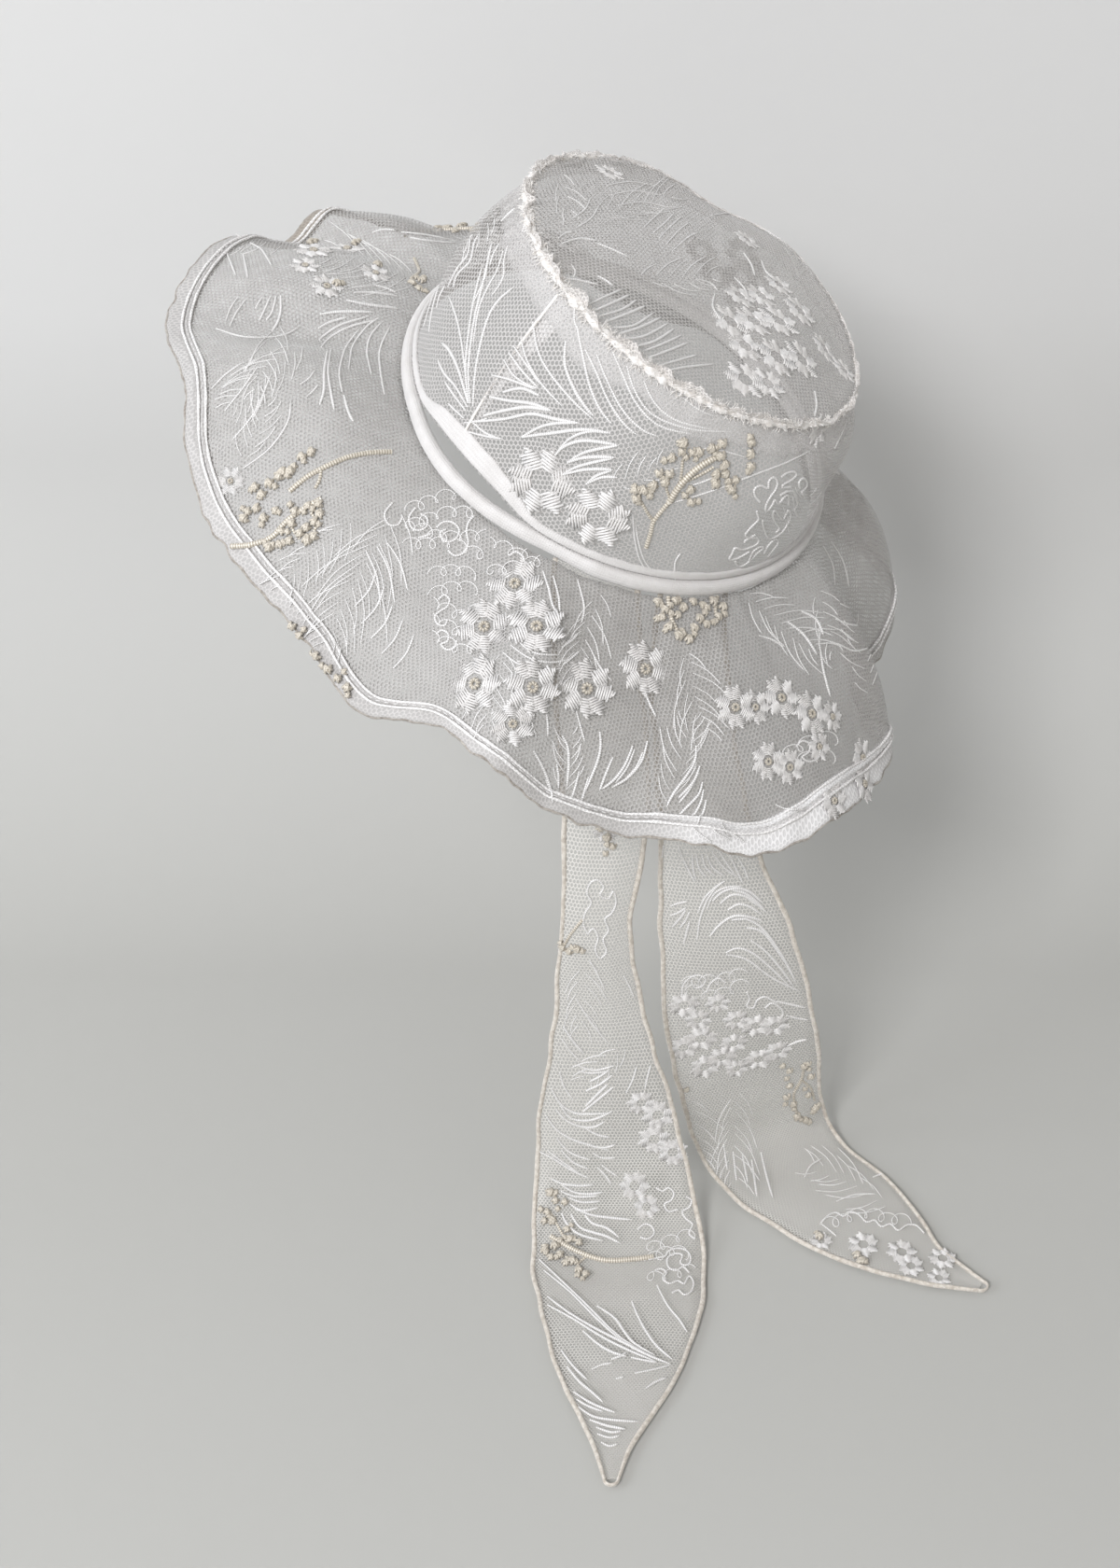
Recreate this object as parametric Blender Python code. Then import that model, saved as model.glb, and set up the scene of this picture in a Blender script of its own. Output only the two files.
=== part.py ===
"""Net sun hat with an oval tip, a side band, a rolled head band, a waved brim and two streamers.

Metres, +Z up. The origin is the middle of the head opening, and +Y is taken as the front.
The hat sits aslant as worn. Its streamers hang straight down and their ends lie on a level surface.
"""
import math

import bmesh
import bpy
from mathutils import Vector

MM = 0.001
GAP = 0.3 * MM

# Head opening of a 58 cm hat, as half lengths of its oval, and the slant of the worn hat
HEAD_HALF_X = 88.5 * MM
HEAD_HALF_Y = 98.0 * MM
SLANT_SIDE = math.radians(21.0)
SLANT_BACK = math.radians(10.3)

# Wall thicknesses
CROWN_WALL = 1.2 * MM
BRIM_WALL = 1.4 * MM
STREAMER_WALL = 1.2 * MM

# Head band: a rolled tube round the opening
BAND_WIDE = 6.6 * MM
BAND_TALL = 6.6 * MM

# Binding on the crown's lower edge, which stands off the band at the slit
BINDING_WIDE = 3.2 * MM
BINDING_TALL = 3.0 * MM

# Crown: the oval and height of the tip seam, and how far the seam's plane leans
TIP_HALF_X = 75.8 * MM
TIP_HALF_Y = 83.3 * MM
TIP_HEIGHT = 71.0 * MM
TIP_LEAN_X = -0.148
TIP_LEAN_Y = -0.091
TIP_SHIFT_X = 5.0 * MM
TIP_DOME = 9.0 * MM
SIDE_BULGE = 3.5 * MM
SEAM_WIDE = 4.4 * MM
SEAM_TALL = 3.6 * MM
SIDE_SEAM_ANGLE = math.radians(222.0)
SIDE_SEAM_TWIST = math.radians(-1.5)
SIDE_SEAM_WIDE = 2.6 * MM
SIDE_SEAM_TALL = 1.2 * MM

# Brim hem: a folded edge with a cord ridge
HEM_DEEP = 11.0 * MM
HEM_WALL = 2.0 * MM
HEM_RIDGE = 1.6 * MM

# Streamers
STREAMER_ROLL = 3.4 * MM
STREAMER_TIP_TURN = 3.0 * MM
STREAMER_NET_TIP = 1.5 * MM

# Mesh steps
TURN_STEPS = 72
BRIM_TURN_STEPS = 96
SIDE_STEPS = 5
BRIM_STEPS = 6
STREAMER_STEPS = 26
STREAMER_ACROSS = 4

# Stand-off of the band at the slit: angle in degrees, tube outward, binding upward
BAND_COLUMNS = ("angle", "out", "lift")
BAND_ROWS = (
    (0.0, 0.0, 0.0),
    (90.0, 0.0, 0.0),
    (180.0, 0.0, 0.0),
    (203.0, 0.5, 0.2),
    (214.0, 2.0, 3.6),
    (226.0, 2.8, 5.0),
    (238.0, 1.4, 4.0),
    (248.0, -1.0, 0.6),
    (256.0, -2.4, 0.0),
    (268.0, -0.6, 0.0),
    (300.0, 0.0, 0.0),
)

# Crown dents: angle in degrees, outward at mid height, upward at the tip's rim
CROWN_COLUMNS = ("angle", "out", "up")
CROWN_ROWS = (
    (0.0, 1.5, 0.0),
    (30.0, -1.0, 3.5),
    (58.0, 1.5, 5.0),
    (80.0, -1.5, -1.0),
    (105.0, 1.0, 1.0),
    (140.0, 0.0, 0.0),
    (180.0, 1.0, 1.0),
    (222.0, -0.8, 0.0),
    (260.0, 1.0, -1.0),
    (310.0, 1.5, 0.0),
    (338.0, -0.5, 0.5),
)

# Brim folds: angle in degrees, edge's reach and rise from the band, lift of the section's middle
BRIM_COLUMNS = ("angle", "reach", "rise", "lift")
BRIM_ROWS = (
    (2.0, 68.0, -73.0, 12.0),
    (11.0, 74.0, -67.0, 15.0),
    (22.0, 70.0, -71.0, 10.0),
    (36.0, 64.0, -76.0, 7.0),
    (52.0, 75.0, -65.0, 14.0),
    (68.0, 84.0, -53.0, 10.0),
    (84.0, 78.0, -62.0, 5.0),
    (101.0, 87.0, -50.0, 12.0),
    (122.0, 86.0, -46.0, 7.0),
    (137.0, 91.0, -34.0, 13.0),
    (146.0, 86.0, -43.0, 7.0),
    (158.0, 93.0, -29.0, 12.0),
    (170.0, 95.0, -23.0, 10.0),
    (180.0, 93.0, -28.0, 2.0),
    (190.0, 84.0, -28.0, 14.0),
    (203.0, 80.0, -38.0, 20.0),
    (216.0, 73.0, -48.0, 15.0),
    (232.0, 63.0, -56.0, 9.0),
    (243.0, 62.0, -59.0, 4.0),
    (253.0, 56.0, -53.0, 9.0),
    (262.0, 68.0, -45.0, 13.0),
    (271.0, 68.0, -60.0, 11.0),
    (284.0, 71.0, -60.0, 8.0),
    (299.0, 86.0, -55.0, 10.0),
    (310.0, 86.0, -46.0, 7.0),
    (322.0, 82.0, -52.0, 12.0),
    (334.0, 77.0, -57.0, 14.0),
    (345.0, 66.0, -74.0, 2.0),
    (354.0, 60.0, -78.0, 3.0),
)

# Streamers, band to tip, in millimetres and degrees: middle of the section, its width, its turn
# about the vertical, its slope to the level and how far its middle bows out of the flat
STREAMER_COLUMNS = ("x", "y", "z", "width", "turn", "slope", "bow")
STREAMER_LEFT_ROWS = (
    (-10.2, -95.0, -19.2, 38.0, 0.0, -21.0, 2.4),
    (-9.0, -98.0, -62.0, 38.0, 0.0, -6.0, 2.0),
    (-5.0, -106.0, -128.0, 38.0, 0.0, 0.0, 3.0),
    (-9.0, -110.0, -186.0, 33.0, 4.0, 0.0, 4.0),
    (-7.0, -113.0, -232.0, 42.0, 2.0, 0.0, 3.0),
    (-3.0, -117.0, -290.0, 64.0, 0.0, 0.0, 1.0),
    (0.5, -128.0, -330.0, 76.0, 0.0, 0.0, 1.0),
    (2.5, -155.0, -343.5, 81.0, 0.0, 0.0, 1.5),
    (2.5, -184.0, -344.0, 74.0, 0.0, 0.0, 2.0),
    (1.0, -222.0, -344.0, 51.0, 0.0, 0.0, 1.5),
    (-1.5, -247.0, -344.0, 28.0, 0.0, 0.0, 0.5),
    (-3.0, -273.0, -344.0, 9.4, 0.0, 0.0, 0.0),
)
STREAMER_RIGHT_ROWS = (
    (28.1, -86.1, -32.3, 34.0, 26.0, -15.0, 1.8),
    (29.0, -87.0, -80.0, 36.0, 14.0, -4.0, 1.0),
    (38.0, -91.0, -150.0, 42.0, 4.0, 0.0, 2.0),
    (49.0, -92.0, -205.0, 61.0, 0.0, 0.0, 3.0),
    (57.0, -91.0, -256.0, 70.0, 5.0, 0.0, 1.0),
    (65.0, -87.0, -300.0, 71.0, 16.0, 0.0, 0.0),
    (72.0, -86.0, -332.0, 70.0, 25.0, 0.0, 1.0),
    (85.0, -101.0, -343.5, 67.0, 34.0, 0.0, 2.0),
    (106.0, -122.0, -344.0, 63.0, 39.0, 0.0, 2.0),
    (125.0, -144.0, -344.0, 47.0, 40.0, 0.0, 1.5),
    (144.0, -160.0, -344.0, 25.0, 44.0, 0.0, 0.5),
    (164.0, -170.0, -344.0, 9.4, 56.0, 0.0, 0.0),
)

# Colours, linear, and roughness
NET_COLOUR = (0.80, 0.79, 0.76)
TAPE_COLOUR = (0.88, 0.88, 0.86)
SEAM_COLOUR = (0.84, 0.81, 0.75)
CLOTH_ROUGHNESS = 0.8


def clear_scene():
    for item in list(bpy.data.objects):
        bpy.data.objects.remove(item, do_unlink=True)


def cloth(name, colour):
    material = bpy.data.materials.new(name)
    material.use_nodes = True
    shader = material.node_tree.nodes["Principled BSDF"]
    shader.inputs["Base Color"].default_value = (*colour, 1.0)
    shader.inputs["Roughness"].default_value = CLOTH_ROUGHNESS
    shader.inputs["Metallic"].default_value = 0.0
    return material


def spline(before, start, end, after, share):
    """Catmull-Rom value between start and end."""
    a = 2.0 * start
    b = end - before
    c = 2.0 * before - 5.0 * start + 4.0 * end - after
    d = -before + 3.0 * start - 3.0 * end + after
    return 0.5 * (a + share * (b + share * (c + share * d)))


def round_table(columns, rows, angle):
    """Smooth values of a table whose angles go once round, as a dictionary."""
    degrees = math.degrees(angle) % 360.0
    count = len(rows)
    here = count - 1
    for index, row in enumerate(rows):
        if row[0] <= degrees:
            here = index
    if degrees < rows[0][0]:
        here = count - 1
    start = rows[here]
    end = rows[(here + 1) % count]
    span = (end[0] - start[0]) % 360.0
    share = ((degrees - start[0]) % 360.0) / span
    before = rows[(here - 1) % count]
    after = rows[(here + 2) % count]
    values = {}
    for column, name in enumerate(columns[1:], start=1):
        values[name] = spline(before[column], start[column], end[column], after[column], share)
    return values


def long_table(columns, rows, share):
    """Smooth values of a table from its first row, at 0, to its last, at 1."""
    place = min(max(share, 0.0), 1.0) * (len(rows) - 1)
    here = min(int(place), len(rows) - 2)
    last = len(rows) - 1
    values = {}
    for column, name in enumerate(columns):
        before = rows[max(here - 1, 0)][column]
        after = rows[min(here + 2, last)][column]
        values[name] = spline(before, rows[here][column], rows[here + 1][column], after, place - here)
    return values


def oval(angle, half_x, half_y, height=0.0):
    return Vector((half_x * math.cos(angle), half_y * math.sin(angle), height))


def oval_out(angle, half_x, half_y):
    """Level direction that points straight out of the oval."""
    return Vector((math.cos(angle) / half_x, math.sin(angle) / half_y, 0.0)).normalized()


def turn_angles(count=TURN_STEPS):
    return [2.0 * math.pi * step / count for step in range(count)]


def rounded_section(wide, tall, corner=0.42, sides=8):
    """Points of a rounded bar section, given as outward and upward distances."""
    points = []
    for step in range(sides):
        angle = 2.0 * math.pi * (step + 0.5) / sides
        across = math.copysign(abs(math.cos(angle)) ** corner, math.cos(angle))
        upward = math.copysign(abs(math.sin(angle)) ** corner, math.sin(angle))
        points.append((0.5 * wide * across, 0.5 * tall * upward))
    return points


def add_mesh(name, points, faces, material, slant=None):
    mesh = bpy.data.meshes.new(name)
    mesh.from_pydata([tuple(point) for point in points], [], faces)
    shape = bmesh.new()
    shape.from_mesh(mesh)
    bmesh.ops.recalc_face_normals(shape, faces=shape.faces)
    shape.to_mesh(mesh)
    shape.free()
    mesh.shade_smooth()
    mesh.materials.append(material)
    piece = bpy.data.objects.new(name, mesh)
    bpy.context.collection.objects.link(piece)
    if slant is not None:
        piece.parent = slant
    return piece


def add_wall(piece, thickness):
    wall = piece.modifiers.new("Wall", "SOLIDIFY")
    wall.thickness = thickness
    wall.offset = 0.0
    wall.use_even_offset = True
    return piece


def ring_sheet(name, place, steps, material, slant, count=TURN_STEPS):
    """Open sheet that goes once round: place gives the point for an angle and a share across."""
    points = []
    for share in [step / steps for step in range(steps + 1)]:
        points += [place(angle, share) for angle in turn_angles(count)]
    faces = []
    for row in range(steps):
        for step in range(count):
            nxt = (step + 1) % count
            faces.append((row * count + step, row * count + nxt,
                          (row + 1) * count + nxt, (row + 1) * count + step))
    return add_mesh(name, points, faces, material, slant)


def ring_bar(name, frame, section, material, slant, count=TURN_STEPS):
    """Closed bar round the hat: frame gives middle, outward and upward directions for an angle."""
    points = []
    for angle in turn_angles(count):
        middle, out, up = frame(angle)
        points += [middle + out * across + up * rise for across, rise in section(angle)]
    sides = len(points) // count
    faces = []
    for step in range(count):
        nxt = (step + 1) % count
        for side in range(sides):
            other = (side + 1) % sides
            faces.append((step * sides + side, step * sides + other,
                          nxt * sides + other, nxt * sides + side))
    return add_mesh(name, points, faces, material, slant)


def long_bar(name, frames, section, material, slant=None):
    """Closed bar with two ends through a list of middles with their outward and upward directions."""
    points = []
    for middle, out, up in frames:
        points += [middle + out * across + up * rise for across, rise in section]
    sides = len(section)
    faces = []
    for step in range(len(frames) - 1):
        for side in range(sides):
            other = (side + 1) % sides
            faces.append((step * sides + side, step * sides + other,
                          (step + 1) * sides + other, (step + 1) * sides + side))
    faces.append(tuple(range(sides)))
    faces.append(tuple(range(len(points) - sides, len(points))))
    return add_mesh(name, points, faces, material, slant)


def band_middle(angle):
    bow = round_table(BAND_COLUMNS, BAND_ROWS, angle)["out"] * MM
    half_x = HEAD_HALF_X + 0.5 * BAND_WIDE
    half_y = HEAD_HALF_Y + 0.5 * BAND_WIDE
    out = oval_out(angle, half_x, half_y)
    return oval(angle, half_x, half_y) + out * bow, out, Vector((0.0, 0.0, 1.0))


def binding_middle(angle):
    lift = round_table(BAND_COLUMNS, BAND_ROWS, angle)["lift"] * MM
    half_x = HEAD_HALF_X + 0.5 * BINDING_WIDE
    half_y = HEAD_HALF_Y + 0.5 * BINDING_WIDE
    height = 0.5 * (BAND_TALL + BINDING_TALL) + GAP + lift
    return oval(angle, half_x, half_y, height), oval_out(angle, half_x, half_y), Vector((0.0, 0.0, 1.0))


def tip_seam_middle(angle, inset=0.0):
    """Point on the plane of the tip seam, with the seam's small ups and downs."""
    half_x = TIP_HALF_X - inset
    half_y = TIP_HALF_Y - inset
    point = oval(angle, half_x, half_y)
    dent = round_table(CROWN_COLUMNS, CROWN_ROWS, angle)["up"] * MM
    point.z = TIP_HEIGHT + TIP_LEAN_X * point.x + TIP_LEAN_Y * point.y + dent
    point.x += TIP_SHIFT_X
    return point


def crown_side_point(angle, share, stand_off=0.0):
    """Point on the middle of the side band's wall, from the binding, at 0, to the tip seam, at 1."""
    foot, out, up = binding_middle(angle)
    foot = foot + up * (0.5 * BINDING_TALL + GAP)
    head = tip_seam_middle(angle) - up * (0.5 * SEAM_TALL + GAP)
    dent = round_table(CROWN_COLUMNS, CROWN_ROWS, angle)["out"] * MM
    swell = math.sin(math.pi * share)
    return foot.lerp(head, share) + out * ((SIDE_BULGE + dent) * swell + stand_off)


def crown_tip_point(angle, share):
    """Point on the middle of the tip's wall, from its middle, at 0, to its rim, at 1."""
    rim = tip_seam_middle(angle, 0.5 * SEAM_WIDE + GAP)
    middle = Vector((TIP_SHIFT_X, 0.0, TIP_HEIGHT))
    point = middle.lerp(rim, share)
    point.z += TIP_DOME * (1.0 - share * share)
    return point


def brim_section(angle):
    """Foot, outward direction and the table's values for one section of the brim."""
    half_x = HEAD_HALF_X + 0.7 * BAND_WIDE
    half_y = HEAD_HALF_Y + 0.7 * BAND_WIDE
    foot = oval(angle, half_x, half_y, -0.5 * BAND_TALL - GAP - 0.6 * BRIM_WALL)
    fold = round_table(BRIM_COLUMNS, BRIM_ROWS, angle)
    return foot, oval_out(angle, half_x, half_y), fold


def brim_point(angle, share):
    """Point on the middle of the brim's wall, from the band, at 0, to its edge, at 1."""
    foot, out, fold = brim_section(angle)
    swell = math.sin(math.pi * share)
    reach = fold["reach"] * share + 0.35 * fold["lift"] * swell
    rise = fold["rise"] * share + 0.75 * fold["lift"] * swell
    return foot + out * (reach * MM) + Vector((0.0, 0.0, rise * MM))


def hem_share(angle):
    """Share of the section at which the hem begins."""
    fold = round_table(BRIM_COLUMNS, BRIM_ROWS, angle)
    return 1.0 - HEM_DEEP / (math.hypot(fold["reach"], fold["rise"]) * MM)


def brim_net_point(angle, share):
    """Brim without its hem: the share runs to just short of the hem's inner edge."""
    fold = round_table(BRIM_COLUMNS, BRIM_ROWS, angle)
    clearance = GAP / (math.hypot(fold["reach"], fold["rise"]) * MM)
    return brim_point(angle, share * (hem_share(angle) - clearance))


def hem_frame(angle):
    """Middle of the hem, its direction along the brim and its face direction."""
    start = brim_point(angle, hem_share(angle))
    end = brim_point(angle, 1.0)
    step = 0.01
    along_turn = (brim_point(angle + step, 1.0) - brim_point(angle - step, 1.0)).normalized()
    across = (end - start).normalized()
    face = across.cross(along_turn).normalized()
    if face.z < 0.0:
        face = -face
    return start.lerp(end, 0.5), (end - start) * 0.5, face


def streamer_station(rows, share):
    """Middle, across direction and width of a streamer's section."""
    row = long_table(STREAMER_COLUMNS, rows, share)
    turn = math.radians(row["turn"])
    slope = math.radians(row["slope"])
    level = math.cos(slope)
    across = Vector((math.cos(turn) * level, math.sin(turn) * level, math.sin(slope)))
    return Vector((row["x"], row["y"], row["z"])) * MM, across, row["width"] * MM


def streamer_face(rows, share):
    """Direction that points out of the streamer's front."""
    step = 0.01
    before = streamer_station(rows, share - step)[0]
    after = streamer_station(rows, share + step)[0]
    across = streamer_station(rows, share)[1]
    return (after - before).normalized().cross(across).normalized()


def net_half_width(rows, share):
    """Half width of the net between the rolled edges."""
    return 0.5 * streamer_station(rows, share)[2] - STREAMER_ROLL - GAP


def streamer_net_point(rows, share, side):
    """Point on the middle of the net, from its left edge, at -1, to its right edge, at 1."""
    middle, across, width = streamer_station(rows, share)
    bow = long_table(STREAMER_COLUMNS, rows, share)["bow"] * MM * (1.0 - side * side)
    return middle + across * (net_half_width(rows, share) * side) + streamer_face(rows, share) * bow


def streamer_roll_path(rows):
    """Middle of the rolled edge and its face direction: down one side, round the tip and back up."""
    inset = 0.5 * STREAMER_ROLL
    runs = []
    for side in (-1.0, 1.0):
        run = []
        for step in range(STREAMER_STEPS + 1):
            share = step / STREAMER_STEPS
            middle, across, width = streamer_station(rows, share)
            run.append((middle + across * (side * (0.5 * width - inset)), streamer_face(rows, share)))
        runs.append(run)
    tip, across, width = streamer_station(rows, 1.0)
    onward = (tip - streamer_station(rows, 0.98)[0]).normalized()
    face = streamer_face(rows, 1.0)
    turn = []
    for step in range(1, 4):
        angle = math.pi * step / 4.0
        sideways = across * (-STREAMER_TIP_TURN * math.cos(angle))
        turn.append((tip + sideways + onward * (STREAMER_TIP_TURN * math.sin(angle)), face))
    return runs[0] + turn + runs[1][::-1]


def build_crown(slant, net, tape, seam):
    ring_bar("head_band", band_middle, lambda angle: rounded_section(BAND_WIDE, BAND_TALL), tape, slant)
    ring_bar("crown_binding", binding_middle,
             lambda angle: rounded_section(BINDING_WIDE, BINDING_TALL, 0.55, 6), tape, slant)
    side = ring_sheet("crown_side", crown_side_point, SIDE_STEPS, net, slant)
    add_wall(side, CROWN_WALL)
    build_crown_tip(slant, net)

    def seam_frame(angle):
        out = oval_out(angle, TIP_HALF_X, TIP_HALF_Y)
        return tip_seam_middle(angle), out, Vector((0.0, 0.0, 1.0))

    ring_bar("tip_seam", seam_frame, lambda angle: rounded_section(SEAM_WIDE, SEAM_TALL, 0.7, 6), seam, slant)
    build_side_seam(slant, seam)


def build_crown_tip(slant, net):
    count = TURN_STEPS // 2
    rings = 4
    points = [crown_tip_point(0.0, 0.0)]
    for ring in range(1, rings + 1):
        points += [crown_tip_point(angle, ring / rings) for angle in turn_angles(count)]
    faces = []
    for step in range(count):
        nxt = (step + 1) % count
        faces.append((0, 1 + step, 1 + nxt))
        for ring in range(rings - 1):
            low = 1 + ring * count
            high = low + count
            faces.append((low + step, high + step, high + nxt, low + nxt))
    add_wall(add_mesh("crown_tip", points, faces, net, slant), CROWN_WALL)


def build_side_seam(slant, seam):
    """Narrow seam down the outside of the side band, which leans as it rises."""
    frames = []
    steps = 10
    stand_off = 0.5 * (CROWN_WALL + SIDE_SEAM_TALL) + 1.5 * GAP
    for step in range(steps + 1):
        share = 0.04 + 0.92 * step / steps
        angle = SIDE_SEAM_ANGLE + SIDE_SEAM_TWIST * share
        middle = crown_side_point(angle, share, stand_off)
        ahead = crown_side_point(angle + 0.02, share, stand_off)
        above = crown_side_point(angle, share + 0.02, stand_off)
        along = (ahead - middle).normalized()
        face = along.cross(above - middle).normalized()
        frames.append((middle, along, face))
    section = rounded_section(SIDE_SEAM_WIDE, SIDE_SEAM_TALL, 0.7, 6)
    long_bar("side_seam", frames, section, seam, slant)


def build_brim(slant, net, tape):
    brim = ring_sheet("brim", brim_net_point, BRIM_STEPS, net, slant, BRIM_TURN_STEPS)
    add_wall(brim, BRIM_WALL)

    half = 0.5 * HEM_WALL
    fold = ((-1.0, -half), (1.0, -half), (1.0, half), (-0.35, half), (-0.62, half + HEM_RIDGE), (-0.9, half))
    ring_bar("brim_hem", hem_frame, lambda angle: fold, tape, slant, BRIM_TURN_STEPS)


def build_streamer(name, rows, net, seam):
    """Net strip that narrows to a point, with a rolled edge all along it."""
    last = 1.0
    while net_half_width(rows, last) < STREAMER_NET_TIP:
        last -= 0.005
    points = []
    for step in range(STREAMER_STEPS + 1):
        for column in range(STREAMER_ACROSS + 1):
            side = 2.0 * column / STREAMER_ACROSS - 1.0
            points.append(streamer_net_point(rows, last * step / STREAMER_STEPS, side))
    faces = []
    wide = STREAMER_ACROSS + 1
    for step in range(STREAMER_STEPS):
        for column in range(STREAMER_ACROSS):
            corner = step * wide + column
            faces.append((corner, corner + 1, corner + wide + 1, corner + wide))
    add_wall(add_mesh(name, points, faces, net), STREAMER_WALL)

    path = streamer_roll_path(rows)
    frames = []
    for index, (spot, face) in enumerate(path):
        behind = path[max(index - 1, 0)][0]
        ahead = path[min(index + 1, len(path) - 1)][0]
        along = (ahead - behind).normalized()
        frames.append((spot, along.cross(face).normalized(), face))
    long_bar(name + "_edge", frames, rounded_section(STREAMER_ROLL, STREAMER_ROLL, 1.0, 6), seam)


def main():
    clear_scene()
    net = cloth("ivory_net", NET_COLOUR)
    tape = cloth("white_binding", TAPE_COLOUR)
    seam = cloth("cream_rolled_seam", SEAM_COLOUR)
    slant = bpy.data.objects.new("worn_slant", None)
    bpy.context.collection.objects.link(slant)
    slant.rotation_euler = (SLANT_BACK, SLANT_SIDE, 0.0)
    build_crown(slant, net, tape, seam)
    build_brim(slant, net, tape)
    build_streamer("streamer_left", STREAMER_LEFT_ROWS, net, seam)
    build_streamer("streamer_right", STREAMER_RIGHT_ROWS, net, seam)


main()
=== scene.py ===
"""Looks of the sheer embroidered sun hat with two streamers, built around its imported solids.

Metres, +Z up. The origin is the middle of the head opening and +Y is the front; the camera looks along +Y.
The cloth repeats the named sizes and tables of the part. Where the photo shows embroidery, it is laid on the
cloth along the camera's own rays. Everywhere else it is laid by its place on the cloth.
"""

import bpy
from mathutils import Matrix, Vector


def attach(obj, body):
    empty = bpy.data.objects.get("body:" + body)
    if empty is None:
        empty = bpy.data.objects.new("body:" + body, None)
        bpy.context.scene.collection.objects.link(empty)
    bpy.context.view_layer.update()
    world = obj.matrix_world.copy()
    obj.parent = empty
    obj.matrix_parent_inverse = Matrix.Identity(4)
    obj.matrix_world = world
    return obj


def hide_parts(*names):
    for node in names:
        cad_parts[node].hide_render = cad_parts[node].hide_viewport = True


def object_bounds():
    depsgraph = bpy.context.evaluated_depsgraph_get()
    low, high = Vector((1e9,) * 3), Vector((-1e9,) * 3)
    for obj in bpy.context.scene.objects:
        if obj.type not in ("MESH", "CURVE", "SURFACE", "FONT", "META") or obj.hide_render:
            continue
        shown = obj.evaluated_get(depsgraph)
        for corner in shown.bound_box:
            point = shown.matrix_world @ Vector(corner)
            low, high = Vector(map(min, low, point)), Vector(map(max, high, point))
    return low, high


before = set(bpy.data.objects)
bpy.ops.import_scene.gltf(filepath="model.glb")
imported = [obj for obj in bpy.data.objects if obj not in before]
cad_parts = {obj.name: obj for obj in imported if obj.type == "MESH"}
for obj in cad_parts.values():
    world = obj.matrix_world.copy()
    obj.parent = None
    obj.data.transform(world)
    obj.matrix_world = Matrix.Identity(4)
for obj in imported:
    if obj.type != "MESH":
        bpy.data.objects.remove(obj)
CAD_BOX = [list(corner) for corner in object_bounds()]

import math
import random

import bmesh
import bpy
from mathutils import Euler, Matrix, Vector, noise
from mathutils.bvhtree import BVHTree

MM = 0.001

# Sizes of the part
HEAD_HALF_X = 88.5 * MM
HEAD_HALF_Y = 98.0 * MM
SLANT_SIDE = math.radians(21.0)
SLANT_BACK = math.radians(10.3)
GAP = 0.3 * MM
BAND_WIDE = 6.6 * MM
BAND_TALL = 6.6 * MM
BINDING_WIDE = 3.2 * MM
BINDING_TALL = 3.0 * MM
BRIM_WALL = 1.4 * MM
TIP_HALF_X = 75.8 * MM
TIP_HALF_Y = 83.3 * MM
TIP_HEIGHT = 71.0 * MM
TIP_LEAN_X = -0.148
TIP_LEAN_Y = -0.091
TIP_SHIFT_X = 5.0 * MM
TIP_DOME = 9.0 * MM
SIDE_BULGE = 3.5 * MM
SEAM_WIDE = 4.4 * MM
SEAM_TALL = 3.6 * MM
SIDE_SEAM_ANGLE = math.radians(222.0)
SIDE_SEAM_TWIST = math.radians(-1.5)
HEM_DEEP = 11.0 * MM
STREAMER_ROLL = 3.4 * MM
STREAMER_TIP_TURN = 3.0 * MM

# Thicknesses of the sheets as they are drawn: one layer of net, and two layers with air between them
NET_WALL = 0.7 * MM
DOUBLE_NET_WALL = 1.3 * MM

# Lengths of the flat cloth in metres, on which net, weave and threads are drawn
SIDE_FLAT_LONG = 0.56
SIDE_FLAT_WIDE = 0.075
BRIM_FLAT_INNER = 0.093
BRIM_FLAT_WIDE = 0.1
STREAMER_FLAT_LONG = 0.47
STREAMER_ROLL_LONG = 0.98
BAND_LONG = 0.6
TIP_SEAM_LONG = 0.5
SIDE_SEAM_LONG = 0.06
HEM_LONG = 1.15
HEM_CORD_LONG = 1.1

# Share of the brim's width that its net covers; the hem covers the rest
BRIM_NET_END = 0.985

# Reach of the side band under its binding and seam, as shares of its depth
SIDE_FOOT = -0.05
SIDE_SPAN = 1.08

# Tables of the part: the slit, the crown's dents, the brim's folds and the two streamers
BAND_COLUMNS = ("angle", "out", "lift")
BAND_ROWS = (
    (0.0, 0.0, 0.0),
    (90.0, 0.0, 0.0),
    (180.0, 0.0, 0.0),
    (203.0, 0.5, 0.2),
    (214.0, 2.0, 3.6),
    (226.0, 2.8, 5.0),
    (238.0, 1.4, 4.0),
    (248.0, -1.0, 0.6),
    (256.0, -2.4, 0.0),
    (268.0, -0.6, 0.0),
    (300.0, 0.0, 0.0),
)
CROWN_COLUMNS = ("angle", "out", "up")
CROWN_ROWS = (
    (0.0, 1.5, 0.0),
    (30.0, -1.0, 3.5),
    (58.0, 1.5, 5.0),
    (80.0, -1.5, -1.0),
    (105.0, 1.0, 1.0),
    (140.0, 0.0, 0.0),
    (180.0, 1.0, 1.0),
    (222.0, -0.8, 0.0),
    (260.0, 1.0, -1.0),
    (310.0, 1.5, 0.0),
    (338.0, -0.5, 0.5),
)
BRIM_COLUMNS = ("angle", "reach", "rise", "lift")
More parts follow.
